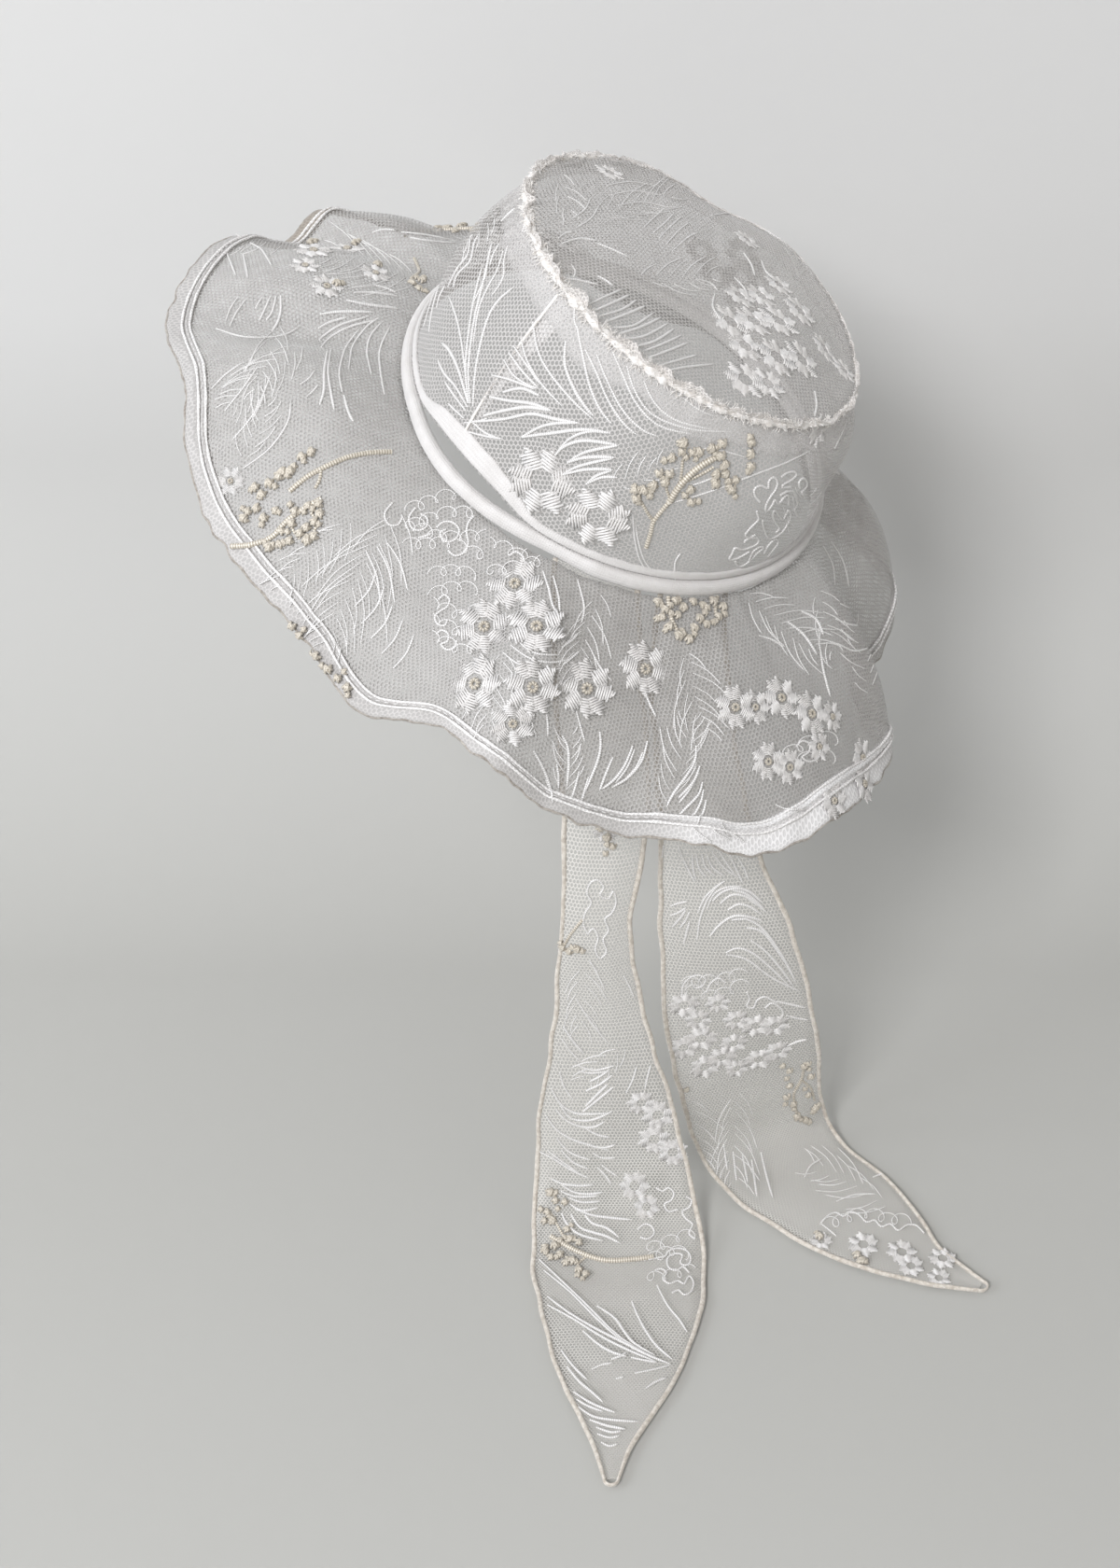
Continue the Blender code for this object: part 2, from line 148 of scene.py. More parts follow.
BRIM_ROWS = (
    (2.0, 68.0, -73.0, 12.0),
    (11.0, 74.0, -67.0, 15.0),
    (22.0, 70.0, -71.0, 10.0),
    (36.0, 64.0, -76.0, 7.0),
    (52.0, 75.0, -65.0, 14.0),
    (68.0, 84.0, -53.0, 10.0),
    (84.0, 78.0, -62.0, 5.0),
    (101.0, 87.0, -50.0, 12.0),
    (122.0, 86.0, -46.0, 7.0),
    (137.0, 91.0, -34.0, 13.0),
    (146.0, 86.0, -43.0, 7.0),
    (158.0, 93.0, -29.0, 12.0),
    (170.0, 95.0, -23.0, 10.0),
    (180.0, 93.0, -28.0, 2.0),
    (190.0, 84.0, -28.0, 14.0),
    (203.0, 80.0, -38.0, 20.0),
    (216.0, 73.0, -48.0, 15.0),
    (232.0, 63.0, -56.0, 9.0),
    (243.0, 62.0, -59.0, 4.0),
    (253.0, 56.0, -53.0, 9.0),
    (262.0, 68.0, -45.0, 13.0),
    (271.0, 68.0, -60.0, 11.0),
    (284.0, 71.0, -60.0, 8.0),
    (299.0, 86.0, -55.0, 10.0),
    (310.0, 86.0, -46.0, 7.0),
    (322.0, 82.0, -52.0, 12.0),
    (334.0, 77.0, -57.0, 14.0),
    (345.0, 66.0, -74.0, 2.0),
    (354.0, 60.0, -78.0, 3.0),
)
STREAMER_COLUMNS = ("x", "y", "z", "width", "turn", "slope", "bow")
STREAMER_LEFT_ROWS = (
    (-10.2, -95.0, -19.2, 38.0, 0.0, -21.0, 2.4),
    (-9.0, -98.0, -62.0, 38.0, 0.0, -6.0, 2.0),
    (-5.0, -106.0, -128.0, 38.0, 0.0, 0.0, 3.0),
    (-9.0, -110.0, -186.0, 33.0, 4.0, 0.0, 4.0),
    (-7.0, -113.0, -232.0, 42.0, 2.0, 0.0, 3.0),
    (-3.0, -117.0, -290.0, 64.0, 0.0, 0.0, 1.0),
    (0.5, -128.0, -330.0, 76.0, 0.0, 0.0, 1.0),
    (2.5, -155.0, -343.5, 81.0, 0.0, 0.0, 1.5),
    (2.5, -184.0, -344.0, 74.0, 0.0, 0.0, 2.0),
    (1.0, -222.0, -344.0, 51.0, 0.0, 0.0, 1.5),
    (-1.5, -247.0, -344.0, 28.0, 0.0, 0.0, 0.5),
    (-3.0, -273.0, -344.0, 9.4, 0.0, 0.0, 0.0),
)
STREAMER_RIGHT_ROWS = (
    (28.1, -86.1, -32.3, 34.0, 26.0, -15.0, 1.8),
    (29.0, -87.0, -80.0, 36.0, 14.0, -4.0, 1.0),
    (38.0, -91.0, -150.0, 42.0, 4.0, 0.0, 2.0),
    (49.0, -92.0, -205.0, 61.0, 0.0, 0.0, 3.0),
    (57.0, -91.0, -256.0, 70.0, 5.0, 0.0, 1.0),
    (65.0, -87.0, -300.0, 71.0, 16.0, 0.0, 0.0),
    (72.0, -86.0, -332.0, 70.0, 25.0, 0.0, 1.0),
    (85.0, -101.0, -343.5, 67.0, 34.0, 0.0, 2.0),
    (106.0, -122.0, -344.0, 63.0, 39.0, 0.0, 2.0),
    (125.0, -144.0, -344.0, 47.0, 40.0, 0.0, 1.5),
    (144.0, -160.0, -344.0, 25.0, 44.0, 0.0, 0.5),
    (164.0, -170.0, -344.0, 9.4, 56.0, 0.0, 0.0),
)

STREAMERS = {"left": STREAMER_LEFT_ROWS, "right": STREAMER_RIGHT_ROWS}

# Camera: its place, how far it looks down, and its focal length in pixels of the 1200 by 1680 picture
PICTURE_WIDE = 1200
PICTURE_TALL = 1680
FOCAL_PIXELS = 2400.0
CAMERA_AT = Vector((-0.0242, -0.8485, 0.4263))
CAMERA_TURN = Euler((math.radians(54.0), 0.0, 0.0))
SENSOR = 36.0

# Embroidery traced from the photograph, in pixels of its 1200 by 1680. Semicolons part the rows of each
# table, and a pair joined by a comma is one point.

# Satin strokes: thickness in millimetres, then the points that the stitch runs through
STROKES = {
    "side": """
1.5 505,432 503,395 509,345 516,315 523,285 527,262; 1.3 503,430 500,392 505,345 511,312 519,282;
1.5 508,435 511,395 521,350 533,325 553,307; 1.2 502,425 497,375 490,340 482,318;
1.9 503,432 492,395 482,375 474,368; 1.5 502,436 489,414 477,400 470,385; 1.3 500,440 488,424 477,408;
1.2 498,448 487,438 481,432; 1.1 545,264 541,280 541,295 535,308 527,318; 1 536,262 530,272 526,285;
1.1 528,262 524,280 520,300 508,325; 1.2 540,270 534,290 525,306 514,332 508,372;
1.3 487,308 491,295 505,280 509,262 514,251; 1.2 481,308 491,288 502,274 505,256 508,252;
1.1 461,356 463,340 466,325 472,305; 1 455,350 461,330 467,312; 1 469,330 472,318 478,306;
1.3 561,222 565,205 572,192; 1.5 561,249 567,232 574,212; 1.3 538,238 546,230 553,224;
1.2 559,362 565,385 580,410 603,435; 1.3 572,345 577,375 590,400 615,430 637,450;
1.9 607,366 606,390 615,415 628,436 637,446; 1.5 619,350 626,385 632,412 643,438 656,454;
1.4 628,375 640,400 651,427 668,453 683,466; 1.3 640,380 652,410 668,440 688,460 705,467;
1.3 655,372 668,402 682,432 706,456 742,465; 1.2 672,392 682,422 702,446 742,460 782,462;
1.2 690,408 702,432 724,450 762,460; 1 730,424 748,438 766,446; 1.2 541,386 551,402 566,412 577,416;
1.4 546,378 560,397 577,415; 1.2 551,371 563,388 579,411; 1.3 528,402 548,407 574,417;
1.8 540,420 560,416 579,424; 1.9 526,425 545,429 570,432 592,440; 2 520,445 540,440 566,436 592,440;
1.9 505,452 540,449 570,443 597,449 621,453; 1.2 507,452 520,463 536,470;
1.8 560,468 580,457 600,453 621,453; 2 560,468 590,464 625,460 655,464;
1.6 600,481 612,469 632,462 655,464; 2 596,487 605,478 622,472 642,473 663,477;
1.8 609,495 625,485 645,480 663,477; 2 609,495 625,490 645,489 659,490;
1.7 604,508 618,500 640,494 659,490; 1.9 604,508 625,503 645,502 657,503; 1.6 629,518 640,509 657,503;
1.6 629,518 645,511 662,511; 1.2 500,470 515,480 526,495; 1.2 503,478 513,487 526,496;
1.1 519,500 530,503 537,512; 1.2 501,462 520,467 539,470; 1 498,453 510,452 523,448;
1 723,620 723,602 729,592; 1 697,616 686,600 680,577 678,550; 1 700,613 690,599 684,580 681,562;
1 741,486 760,480 800,490; 1.1 720,538 745,531 775,521 800,511 840,496 868,482; 1 742,519 752,516 764,511;
1.1 893,480 902,460 908,440; 1 617,326 616,342 619,352""",
    "tip": """
1.3 625,330 648,319 666,311; 1.6 632,336 655,326 674,317; 1.4 640,340 665,333 682,322;
1.6 648,346 670,338 691,329; 1.4 655,352 678,350 700,336; 1.6 662,359 685,352 708,341;
1.4 668,364 690,361 716,347; 1.6 675,373 700,367 722,353; 1.4 683,379 706,371 730,360;
1.5 690,386 712,378 737,368; 1.3 698,395 722,388 747,381; 1.4 705,401 730,395 765,391;
1.3 602,262 620,257 640,259; 1.1 598,256 606,251 614,250; 1.2 640,297 648,301 656,307;
1.2 600,300 618,301 640,306; 1 640,262 655,268 672,276; 1 612,285 616,292 614,298;
1 700,250 712,240 722,229; 1 706,256 720,242 730,233; 1 714,262 728,247 738,240;
1 690,244 702,233 712,224; 1 720,270 736,256 748,250; 1.2 765,316 763,330 772,344;
1 745,300 760,304 768,312; 1.1 786,298 798,312 802,330; 1.1 796,272 804,284 808,296;
1 815,280 820,292 830,300; 1 762,232 782,230 798,233; 1.2 872,420 874,434 872,447;
1 885,384 895,392 904,396; 1 650,200 675,196 700,200; 1 655,210 680,206 708,211;
1 662,221 690,218 716,224; 1 632,214 626,226 612,236; 1 640,224 632,236 616,246""",
    "brim": """
1.6 343,338 365,335 400,336; 1.6 371,323 395,328 426,332; 1.3 379,315 400,315 426,319;
1.2 400,307 412,310 424,315; 1.4 341,353 352,347 372,341; 1.4 342,366 352,357 366,349 395,340;
1.3 344,374 355,362 373,352 402,344; 1.4 350,379 347,400 347,420 342,436;
1.3 354,377 351,400 355,425 358,441; 1.1 366,421 363,400 370,375 386,352; 1.3 368,425 372,440 378,453;
1.1 373,396 378,372 393,351 407,341; 1.1 397,402 393,380 397,361 410,345;
1.1 411,424 407,400 407,376 418,350; 1.4 301,318 301,335 297,348 291,357; 1.2 296,319 292,335 285,345;
1.2 290,319 283,335 278,345; 1 281,320 274,332; 1 256,319 248,331 242,346; 1 264,322 254,336 246,352;
1 322,413 331,407 337,399; 1 329,426 336,420 341,413; 1 242,441 262,416 277,394;
1 250,472 275,441 291,402; 1 262,502 290,481 309,453 312,431; 1 228,417 243,402 262,389;
1 232,354 262,363 300,362 320,352; 1.1 243,272 248,284 253,296; 1.1 261,274 264,288 266,299;
1 268,262 281,270 291,286; 1.1 440,256 462,260 488,262; 1 430,250 455,253 480,258;
1 400,250 412,247 424,248; 1.4 571,804 580,820 588,840 592,860; 1.4 602,788 608,800 609,820 607,842;
1.4 642,784 643,800 638,820 624,852; 1.3 656,811 648,830 642,846; 1.4 677,799 669,819 657,835 644,845;
1.2 679,803 671,822 659,838; 1.4 693,794 687,815 673,832 655,843; 1.2 688,806 681,822 668,836;
1.1 596,818 598,830 598,844; 1.1 620,826 616,842 611,858; 1.1 630,832 626,846 622,860;
1.4 745,799 744,815 735,831 721,850 714,864; 1.4 749,821 742,838 726,855;
1.3 752,838 748,851 736,864 727,873; 1.2 753,846 750,860 741,877; 1.2 756,857 753,870 747,881;
1.2 748,828 738,846 727,860; 1.4 858,656 873,664 881,681; 1.4 843,667 860,681 874,702;
1.2 878,700 881,720 888,747; 1 812,682 826,686 838,694; 1.2 582,613 587,630 592,650 598,661;
1.1 592,618 598,640 599,656; 1 618,622 625,650 622,668; 1.1 634,700 645,720 655,730;
1.1 601,694 612,686 618,680; 1.1 603,712 614,703 620,698; 1 540,700 556,712 578,718 602,716;
1 548,692 568,706 590,710 612,706; 1 552,684 572,700 598,702; 1.2 448,577 456,575 463,572;
1.2 690,742 696,756 702,768; 1 617,762 622,780 626,794; 1 566,762 570,778 574,790;
1 584,760 586,776 586,788; 1.1 392,590 404,618 408,650; 1.1 404,586 417,612 423,646;
1 415,582 429,604 437,634; 1.1 380,650 396,632 404,610; 1.1 388,668 404,650 412,628;
1.1 398,684 413,668 421,648; 1 410,700 424,684 432,664; 1 422,716 436,700 444,680;
1.1 760,884 768,893 782,900; 1.1 772,882 782,892 798,903; 1 742,886 750,894 762,902;
1 830,862 846,868 862,866; 1 880,585 890,605 893,630; 1 889,580 902,602 908,628;
1 899,648 916,655 934,652; 1 894,664 914,671 936,667; 1 896,690 914,698 932,694""",
    "left": """
1.4 604,1099 614,1114 626,1128; 1 602,1112 612,1126 622,1136; 1.2 618,1140 636,1146 658,1141;
1.1 620,1147 634,1149 650,1147; 1 632,1028 641,1044 648,1060; 1 668,1045 674,1056 679,1068;
1 618,1070 634,1095 652,1117; 1.1 600,1148 605,1164 615,1178;
1.5 591,1165 600,1181 614,1191 628,1193 652,1192; 1.5 600,1182 611,1197 628,1200 641,1197 656,1190;
1.4 596,1188 606,1199 621,1206 636,1207 648,1201; 1.4 626,1207 640,1215 654,1218;
1.3 632,1227 647,1229 659,1226; 1.5 585,1194 595,1208 611,1219 631,1226 653,1232;
1.3 597,1219 607,1231 619,1238 633,1242; 1.4 602,1232 615,1245 631,1252;
1.4 576,1232 595,1242 612,1253 632,1262; 1.2 587,1232 604,1245 620,1256; 1.2 636,1235 645,1240 659,1240;
1.3 645,1248 653,1254 662,1260; 1.3 640,1250 649,1259 655,1268; 1.5 590,1262 603,1268 620,1270 636,1269;
1.5 602,1269 615,1277 632,1279 646,1277; 1.4 601,1276 618,1282 641,1281; 1.4 609,1283 624,1288 643,1287;
1.4 611,1290 624,1297 641,1294; 1.6 616,1295 634,1302 655,1305 677,1307;
1.7 627,1302 635,1311 650,1316 663,1326; 1.7 612,1301 621,1315 636,1321 650,1325 665,1333;
1.6 602,1300 608,1312 621,1323 646,1330; 1.5 628,1168 643,1161 656,1151; 1.4 632,1158 642,1153 652,1146;
1.6 625,1190 640,1178 657,1164; 1.6 628,1184 640,1172 651,1161; 1.1 671,1170 678,1156 682,1142;
1.2 691,1166 694,1152 697,1140; 1.5 578,1350 601,1372 631,1401 661,1431 690,1450 718,1462;
1.3 583,1362 610,1384 640,1414 670,1440 698,1455;
1.6 587,1390 611,1408 640,1425 670,1440 695,1453 718,1462;
1.4 587,1399 613,1413 645,1433 675,1448 702,1459; 1.5 640,1400 659,1413 670,1429 681,1441 702,1453;
1.5 625,1427 640,1440 655,1449 671,1454; 1.4 677,1395 686,1416 701,1440 720,1457;
1.3 704,1378 715,1399 728,1415 736,1428; 1.4 602,1448 614,1464 629,1479;
1.5 608,1465 620,1480 634,1492 646,1503; 1.5 615,1492 630,1502 645,1509 659,1514;
1.3 618,1500 630,1507 646,1513; 1.4 620,1508 635,1518 656,1522 684,1524; 1.5 632,1522 650,1528 670,1532;
1.3 639,1530 654,1535 666,1534; 1.2 640,1537 653,1541 664,1539; 1.2 644,1546 653,1550 662,1548;
1.4 655,1457 664,1454 671,1450; 1.2 676,1455 690,1458 704,1460; 1.1 680,1472 700,1468 719,1463;
1.3 692,1488 703,1481 714,1477; 1.1 634,1468 645,1463 656,1461; 1.1 660,1478 668,1476""",
    "right": """
1.2 727,906 734,923 745,945; 1.2 742,915 743,930 746,943; 1.2 746,914 749,929 757,939;
1.2 752,914 756,928 767,938; 1.2 757,914 764,929 777,938; 1.3 763,912 776,929 792,940;
1.3 771,912 780,926 787,936; 1.3 782,915 790,933 796,946; 1.1 790,917 797,929 802,942;
1.8 711,905 708,930 713,950 720,959; 1.4 719,970 727,967 737,965; 1.4 719,980 727,977 735,972;
1.5 721,992 729,983 735,974; 1.3 729,993 735,985 739,976; 1.5 733,1010 736,998 739,986;
1.4 747,1006 750,985 757,965 767,950 777,943; 1.2 748,977 756,960 771,946;
1.3 758,972 765,957 778,950 795,949; 1.9 764,964 775,954 790,951 804,955 818,968;
1.9 785,953 798,956 811,966 821,977; 1.6 772,967 784,958 799,960 813,971;
1.6 780,974 791,968 804,971 816,979; 1.7 761,1002 771,990 785,981 800,981 817,986;
1.7 784,985 800,984 816,993 831,1012 844,1034 853,1053; 1.8 800,993 816,997 830,1013 842,1032;
1.5 805,1007 820,1018 836,1036 850,1056; 1.4 778,1020 790,1015 806,1020 826,1036 846,1056;
1.3 778,1022 800,1027 826,1046 856,1061; 1.4 832,1072 846,1075 863,1079; 1.2 842,1087 854,1090 866,1092;
1.5 843,1120 854,1115 864,1113; 1.1 785,1234 787,1250 789,1266; 1.1 795,1238 798,1252 801,1268;
1.2 805,1243 808,1262 811,1283; 1.2 815,1235 821,1260 828,1284; 1 775,1226 777,1240 779,1254;
1 862,1262 868,1250 880,1242; 1 896,1288 915,1281 938,1280; 1.1 935,1262 944,1259 952,1260;
1 880,1312 888,1318 896,1325""",
}

# Thickness of the strokes as drawn, as a share: they are finer there than they look in the picture
SATIN_SCALE = {"side": 0.78, "tip": 0.78, "brim": 0.85, "left": 0.85, "right": 0.85}

# Thin scroll outlines: the points of each path
SCROLLS = {
    "side": """
813,537 808,530 808,523 815,520 822,523 823,515 828,511 832,516 830,524 825,531 820,540 820,547 826,541
829,535 833,539 838,533 843,530 844,540; 836,511 841,507 850,505 852,509 845,515 838,519 838,522 846,521;
835,530 842,526 849,526 852,533 853,540 850,545 853,552;
856,522 855,516 859,512 863,515 863,521 858,526 860,532;
810,547 812,555 808,560 803,565 798,572 802,575 808,572;
816,557 818,567 823,576 831,574 838,568 843,560 846,551 843,546 838,556 834,552 829,546 827,550 829,558
834,565 830,570;
797,580 799,577 807,575 812,577 810,582 802,586 794,588 787,586 784,592 781,598 790,597 802,590;
787,600 791,606 800,602 810,592 817,586 813,585 806,590 802,599;
822,595 829,586 833,580 829,577 822,584 818,592""",
    "brim": """
468,566 476,560 486,561 492,568 489,577 481,581 474,578 472,571 478,568;
480,590 488,596 498,592 502,582 500,570 502,560 508,553;
470,643 476,638 482,643 479,651 472,655 466,661 469,669 477,671 480,664;
468,680 474,676 481,680 480,688 473,691 480,697 488,694 490,687; 546,596 553,592 560,597 563,606 570,603;
445,545 438,555 441,566 450,569 458,564 457,555 450,551; 420,540 412,551 416,562 426,563 431,555;
852,800 858,794 866,797 865,806 858,811 866,816 875,812 877,803""",
    "left": """
630,1000 625,988 628,976 634,966 629,956 633,945 641,942 647,950 643,958 652,962 657,954 660,966 655,978
648,984 652,996 646,1006 650,1018 643,1026 638,1016 641,1004 636,994 630,1000;
695,1350 705,1348 713,1346 716,1341 725,1338 735,1340 740,1348 737,1356 729,1354 731,1345 722,1344
715,1349 716,1358 724,1362 732,1358 738,1364;
702,1362 708,1360 714,1364 711,1371 717,1376 726,1373 733,1376 738,1368 743,1374 741,1384 733,1388
727,1383 720,1386; 703,1272 710,1276 716,1272 722,1278 719,1286 712,1290 716,1298 726,1296;
735,1282 741,1286 738,1294 731,1298 735,1306 742,1312 738,1322 745,1328;
683,1318 690,1312 698,1314 701,1322 694,1328 686,1326""",
    "right": """
800,1062 803,1070 800,1077 807,1079 811,1071 819,1067 826,1070 832,1073;
820,1079 826,1074 834,1077 839,1084 836,1091;
731,1066 732,1055 739,1047 748,1044 756,1048 752,1056 744,1057 741,1050;
757,1062 762,1052 770,1047 777,1052;
880,1311 887,1303 896,1300 904,1304 910,1299 920,1302 928,1310 937,1308 944,1315 954,1312 962,1319
972,1313 982,1314 990,1322""",
}

# Star flowers: middle, width across in millimetres, and turn in degrees
FLOWERS = {
    "side": """
581,515 25 8; 641,554 23 0; 876,462 12 10""",
    "tip": """
782,346 17 40; 807,345 16 60; 834,345 17 20; 856,334 15 35; 798,372 15 80; 832,384 17 50; 858,386 17 20;
798,408 17 10; 822,412 14 0; 882,374 13 40; 903,397 12 0; 834,306 12 25; 792,318 14 50; 815,318 13 70;
800,258 11 20; 653,186 12 0""",
    "brim": """
552,626 20 75; 519,672 20 88; 575,672 21 95; 510,733 21 85; 570,736 20 92; 628,738 21 90; 690,717 20 85;
549,775 16 30; 787,758 16 80; 808,758 13 95; 836,748 16 90; 868,765 17 85; 890,768 12 90; 822,816 14 70;
845,822 13 60; 876,800 12 30; 922,812 15 90; 924,840 15 70; 892,858 14 50; 336,270 15 70; 372,268 15 60;
350,308 13 80; 327,286 12 20; 402,294 12 85; 248,516 11 10""",
    "left": """
687,1181 12 60; 705,1194 14 80; 701,1220 14 85; 721,1234 13 90; 680,1270 13 60; 693,1293 11 50;
650,890 10 0""",
    "right": """
733,1076 13.2 20; 748,1092 11.4 55; 751,1112 14.1 0; 732,1122 12.3 70; 755,1142 13.2 35; 773,1132 13.2 10;
789,1092 11.4 60; 786,1117 12.3 25; 789,1144 10.6 45; 769,1074 10.6 75; 810,1098 13.2 15;
830,1098 13.2 50; 813,1134 13.2 5; 833,1125 12.3 65; 925,1334 13 60; 966,1342 13 70; 976,1357 11 40;
1010,1349 12 60; 1006,1370 10 40; 880,1330 9 30""",
}

# Thick wound stems of the berry sprigs: thickness in millimetres, then the points of the path
STEMS = {
    "side": """
1.9 692,586 697,570 700,558 710,545 717,537; 1.4 700,558 693,548 687,537;
2.8 717,537 727,521 741,506 756,495 773,486; 1.2 717,533 714,524 712,513; 1.2 728,518 730,504 731,492;
1.3 735,515 750,508 764,500""",
    "brim": """
2.2 419,485 396,486 372,491 349,501 329,512 311,527;
2.4 345,535 326,546 309,558 291,577 268,584 244,586 228,583; 1.4 344,503 343,514 338,524;
1.3 334,550 340,560 337,570; 1.3 309,558 316,570 322,578; 1.8 715,640 716,655 722,672 730,684;
1.6 768,640 765,655 770,664; 1.5 440,300 449,292 444,278""",
    "left": """
2.6 700,1347 675,1350 650,1351 630,1346 610,1337 590,1325; 1.3 610,1337 600,1318 590,1300;
1.3 630,1346 620,1354 618,1364; 1.4 604,1014 612,1000 624,985""",
    "right": """
1.5 862,1138 858,1156 850,1172 853,1192; 1.3 858,1156 868,1165 872,1178""",
}

# Knotted berries: their middles
BERRIES = {
    "side": """
682,533 690,524 680,524 699,519 696,530 706,506 717,507 712,516 719,490 731,474 730,484 741,484 761,480
773,475 772,488 766,508 776,507 766,518 787,514 783,524 739,524 740,537 804,474 803,487 803,500 776,497
748,484""",
    "brim": """
275,523 282,531 290,519 304,507 312,506 324,491 334,485 309,510 317,549 331,543 342,541 343,552 337,560
329,566 337,575 314,562 322,572 330,580 311,580 301,584 289,587 262,556 276,546 296,548 303,570 704,646
712,654 722,645 731,652 741,646 752,650 762,646 773,652 708,662 724,660 748,664 756,670 743,674 716,672
726,682 737,686 768,662 448,312 441,306 452,303 334,262 381,262 360,306 404,286 300,511 267,549 284,556
314,670 322,680 331,691 340,702 352,717 362,727 372,737""",
    "left": """
589,1277 595,1286 605,1288 586,1299 583,1309 592,1308 607,1318 600,1330 611,1328 620,1332 613,1352
620,1362 628,1366 600,1345 590,1348 606,1354 584,1338 594,1336 643,886 650,896 656,906 603,1014 610,1018
618,1016""",
    "right": """
845,1146 861,1141 868,1152 845,1162 842,1174 849,1182 865,1172 872,1186 853,1196 862,1200 727,1166
731,1176 918,1346 924,1352 878,1326 870,1190""",
}

# Faint ferns in the picture: cloth, foot, the way they grow in degrees, 0 to the right and 90 down, and
# their length in pixels
FAINT_FERNS = """
brim 322,372 132 120; brim 296,352 100 90; brim 262,492 285 80; brim 424,552 112 190;
brim 372,560 128 120; brim 446,300 190 120; brim 300,262 175 60; brim 540,700 95 100; brim 600,850 272 80;
brim 640,640 100 110; brim 716,858 278 110; brim 735,700 70 110; brim 800,640 30 120; brim 874,636 66 80;
brim 930,740 250 90; tip 640,230 340 100; tip 690,300 350 90; tip 600,190 70 60; side 530,232 130 70;
side 660,520 330 70; side 850,590 275 80; left 628,1030 88 90; left 668,1120 130 70;
right 788,1170 84 120; right 950,1290 200 110; right 740,1180 70 90"""

# Clouds of thin looped cord in the picture: cloth, middle, width and height in pixels, number of strands
LOOP_CLOUDS = """
brim 478,562 84 66 4; brim 488,652 52 92 5; brim 556,596 66 34 2; brim 866,806 54 36 2;
left 716,1346 44 52 3; right 764,1052 66 26 2; right 930,1308 96 18 1"""

# Motifs where the photo doesn't look: cloth, kind, angle round the hat in degrees, share across the cloth,
# turn in degrees, and size in millimetres
HIDDEN_MOTIFS = """
side fern 20 0.15 70 62; side fern 47 0.85 -80 60; side cluster 66 0.45 20 36; side fern 86 0.12 96 62;
side fern 110 0.9 -86 56; side fern 130 0.88 -110 60; side cluster 148 0.5 70 36; brim fern 14 0.2 -95 74;
brim cluster 28 0.62 10 44; brim fern 44 0.9 82 76; brim sprig 58 0.4 30 46; brim fern 72 0.15 -84 76;
brim scroll 84 0.6 0 40; brim fern 97 0.92 100 72; brim cluster 110 0.42 60 44; brim sprig 120 0.75 -60 40"""

FLOOR_Z = CAD_BOX[0][2]
BODY = "root"


def srgb(code):
    """Linear colour of an sRGB hex value."""
    values = [int(code[index:index + 2], 16) / 255.0 for index in (1, 3, 5)]
    linear = [v / 12.92 if v <= 0.04045 else ((v + 0.055) / 1.055) ** 2.4 for v in values]
    return (*linear, 1.0)


def add(tree, kind, inputs=(), **settings):
    """Add a node with its settings. Inputs map a socket to a value or to the output that feeds it."""
    node = tree.nodes.new(kind)
    for name, value in settings.items():
        setattr(node, name, value)
    for socket, value in dict(inputs).items():
        if isinstance(value, bpy.types.NodeSocket):
            tree.links.new(value, node.inputs[socket])
        else:
            node.inputs[socket].default_value = value
    return node


def maths(tree, operation, *values):
    """Output of a math node on one or two values or outputs."""
    return add(tree, "ShaderNodeMath", dict(enumerate(values)), operation=operation).outputs[0]


def spline(before, start, end, after, share):
    """Catmull-Rom value between start and end."""
    a = 2.0 * start
    b = end - before
    c = 2.0 * before - 5.0 * start + 4.0 * end - after
    d = -before + 3.0 * start - 3.0 * end + after
    return 0.5 * (a + share * (b + share * (c + share * d)))


def round_table(columns, rows, angle):
    """Smooth values of a table whose angles go once round, as a dictionary."""
    degrees = math.degrees(angle) % 360.0
    count = len(rows)
    here = count - 1
    for index, row in enumerate(rows):
        if row[0] <= degrees:
            here = index
    start = rows[here]
    end = rows[(here + 1) % count]
    share = ((degrees - start[0]) % 360.0) / ((end[0] - start[0]) % 360.0)
    before = rows[(here - 1) % count]
    after = rows[(here + 2) % count]
    values = {}
    for column, name in enumerate(columns[1:], start=1):
        values[name] = spline(before[column], start[column], end[column], after[column], share)
    return values


def long_table(columns, rows, share):
    """Smooth values of a table from its first row, at 0, to its last, at 1."""
    place = min(max(share, 0.0), 1.0) * (len(rows) - 1)
    here = min(int(place), len(rows) - 2)
    last = len(rows) - 1
    values = {}
    for column, name in enumerate(columns):
        before = rows[max(here - 1, 0)][column]
        after = rows[min(here + 2, last)][column]
        values[name] = spline(before, rows[here][column], rows[here + 1][column], after, place - here)
    return values


def smooth_path(points, count):
    """Evenly shared points on a smooth curve through a short list of points."""
    last = len(points) - 1
    path = []
    for step in range(count):
        place = last * step / (count - 1)
        here = min(int(place), last - 1)
        before = points[max(here - 1, 0)]
        after = points[min(here + 2, last)]
        start, end = points[here], points[here + 1]
        path.append([spline(before[k], start[k], end[k], after[k], place - here) for k in range(len(start))])
    return path


def traced(text):
    """Rows of a table in plain text, with its words, its numbers and its points as pairs."""
    rows = []
    for row in text.split(";"):
        items = []
        for item in row.split():
            numbers = [] if item.isalpha() else [float(part) for part in item.split(",")]
            items.append(numbers if len(numbers) > 1 else numbers[0] if numbers else item)
        rows.append(items)
    return rows


def oval(angle, half_x, half_y, height=0.0):
    return Vector((half_x * math.cos(angle), half_y * math.sin(angle), height))


def oval_out(angle, half_x, half_y):
    """Level direction that points straight out of the oval."""
    return Vector((math.cos(angle) / half_x, math.sin(angle) / half_y, 0.0)).normalized()


SLANT = Euler((SLANT_BACK, SLANT_SIDE, 0.0)).to_matrix()
UP = Vector((0.0, 0.0, 1.0))


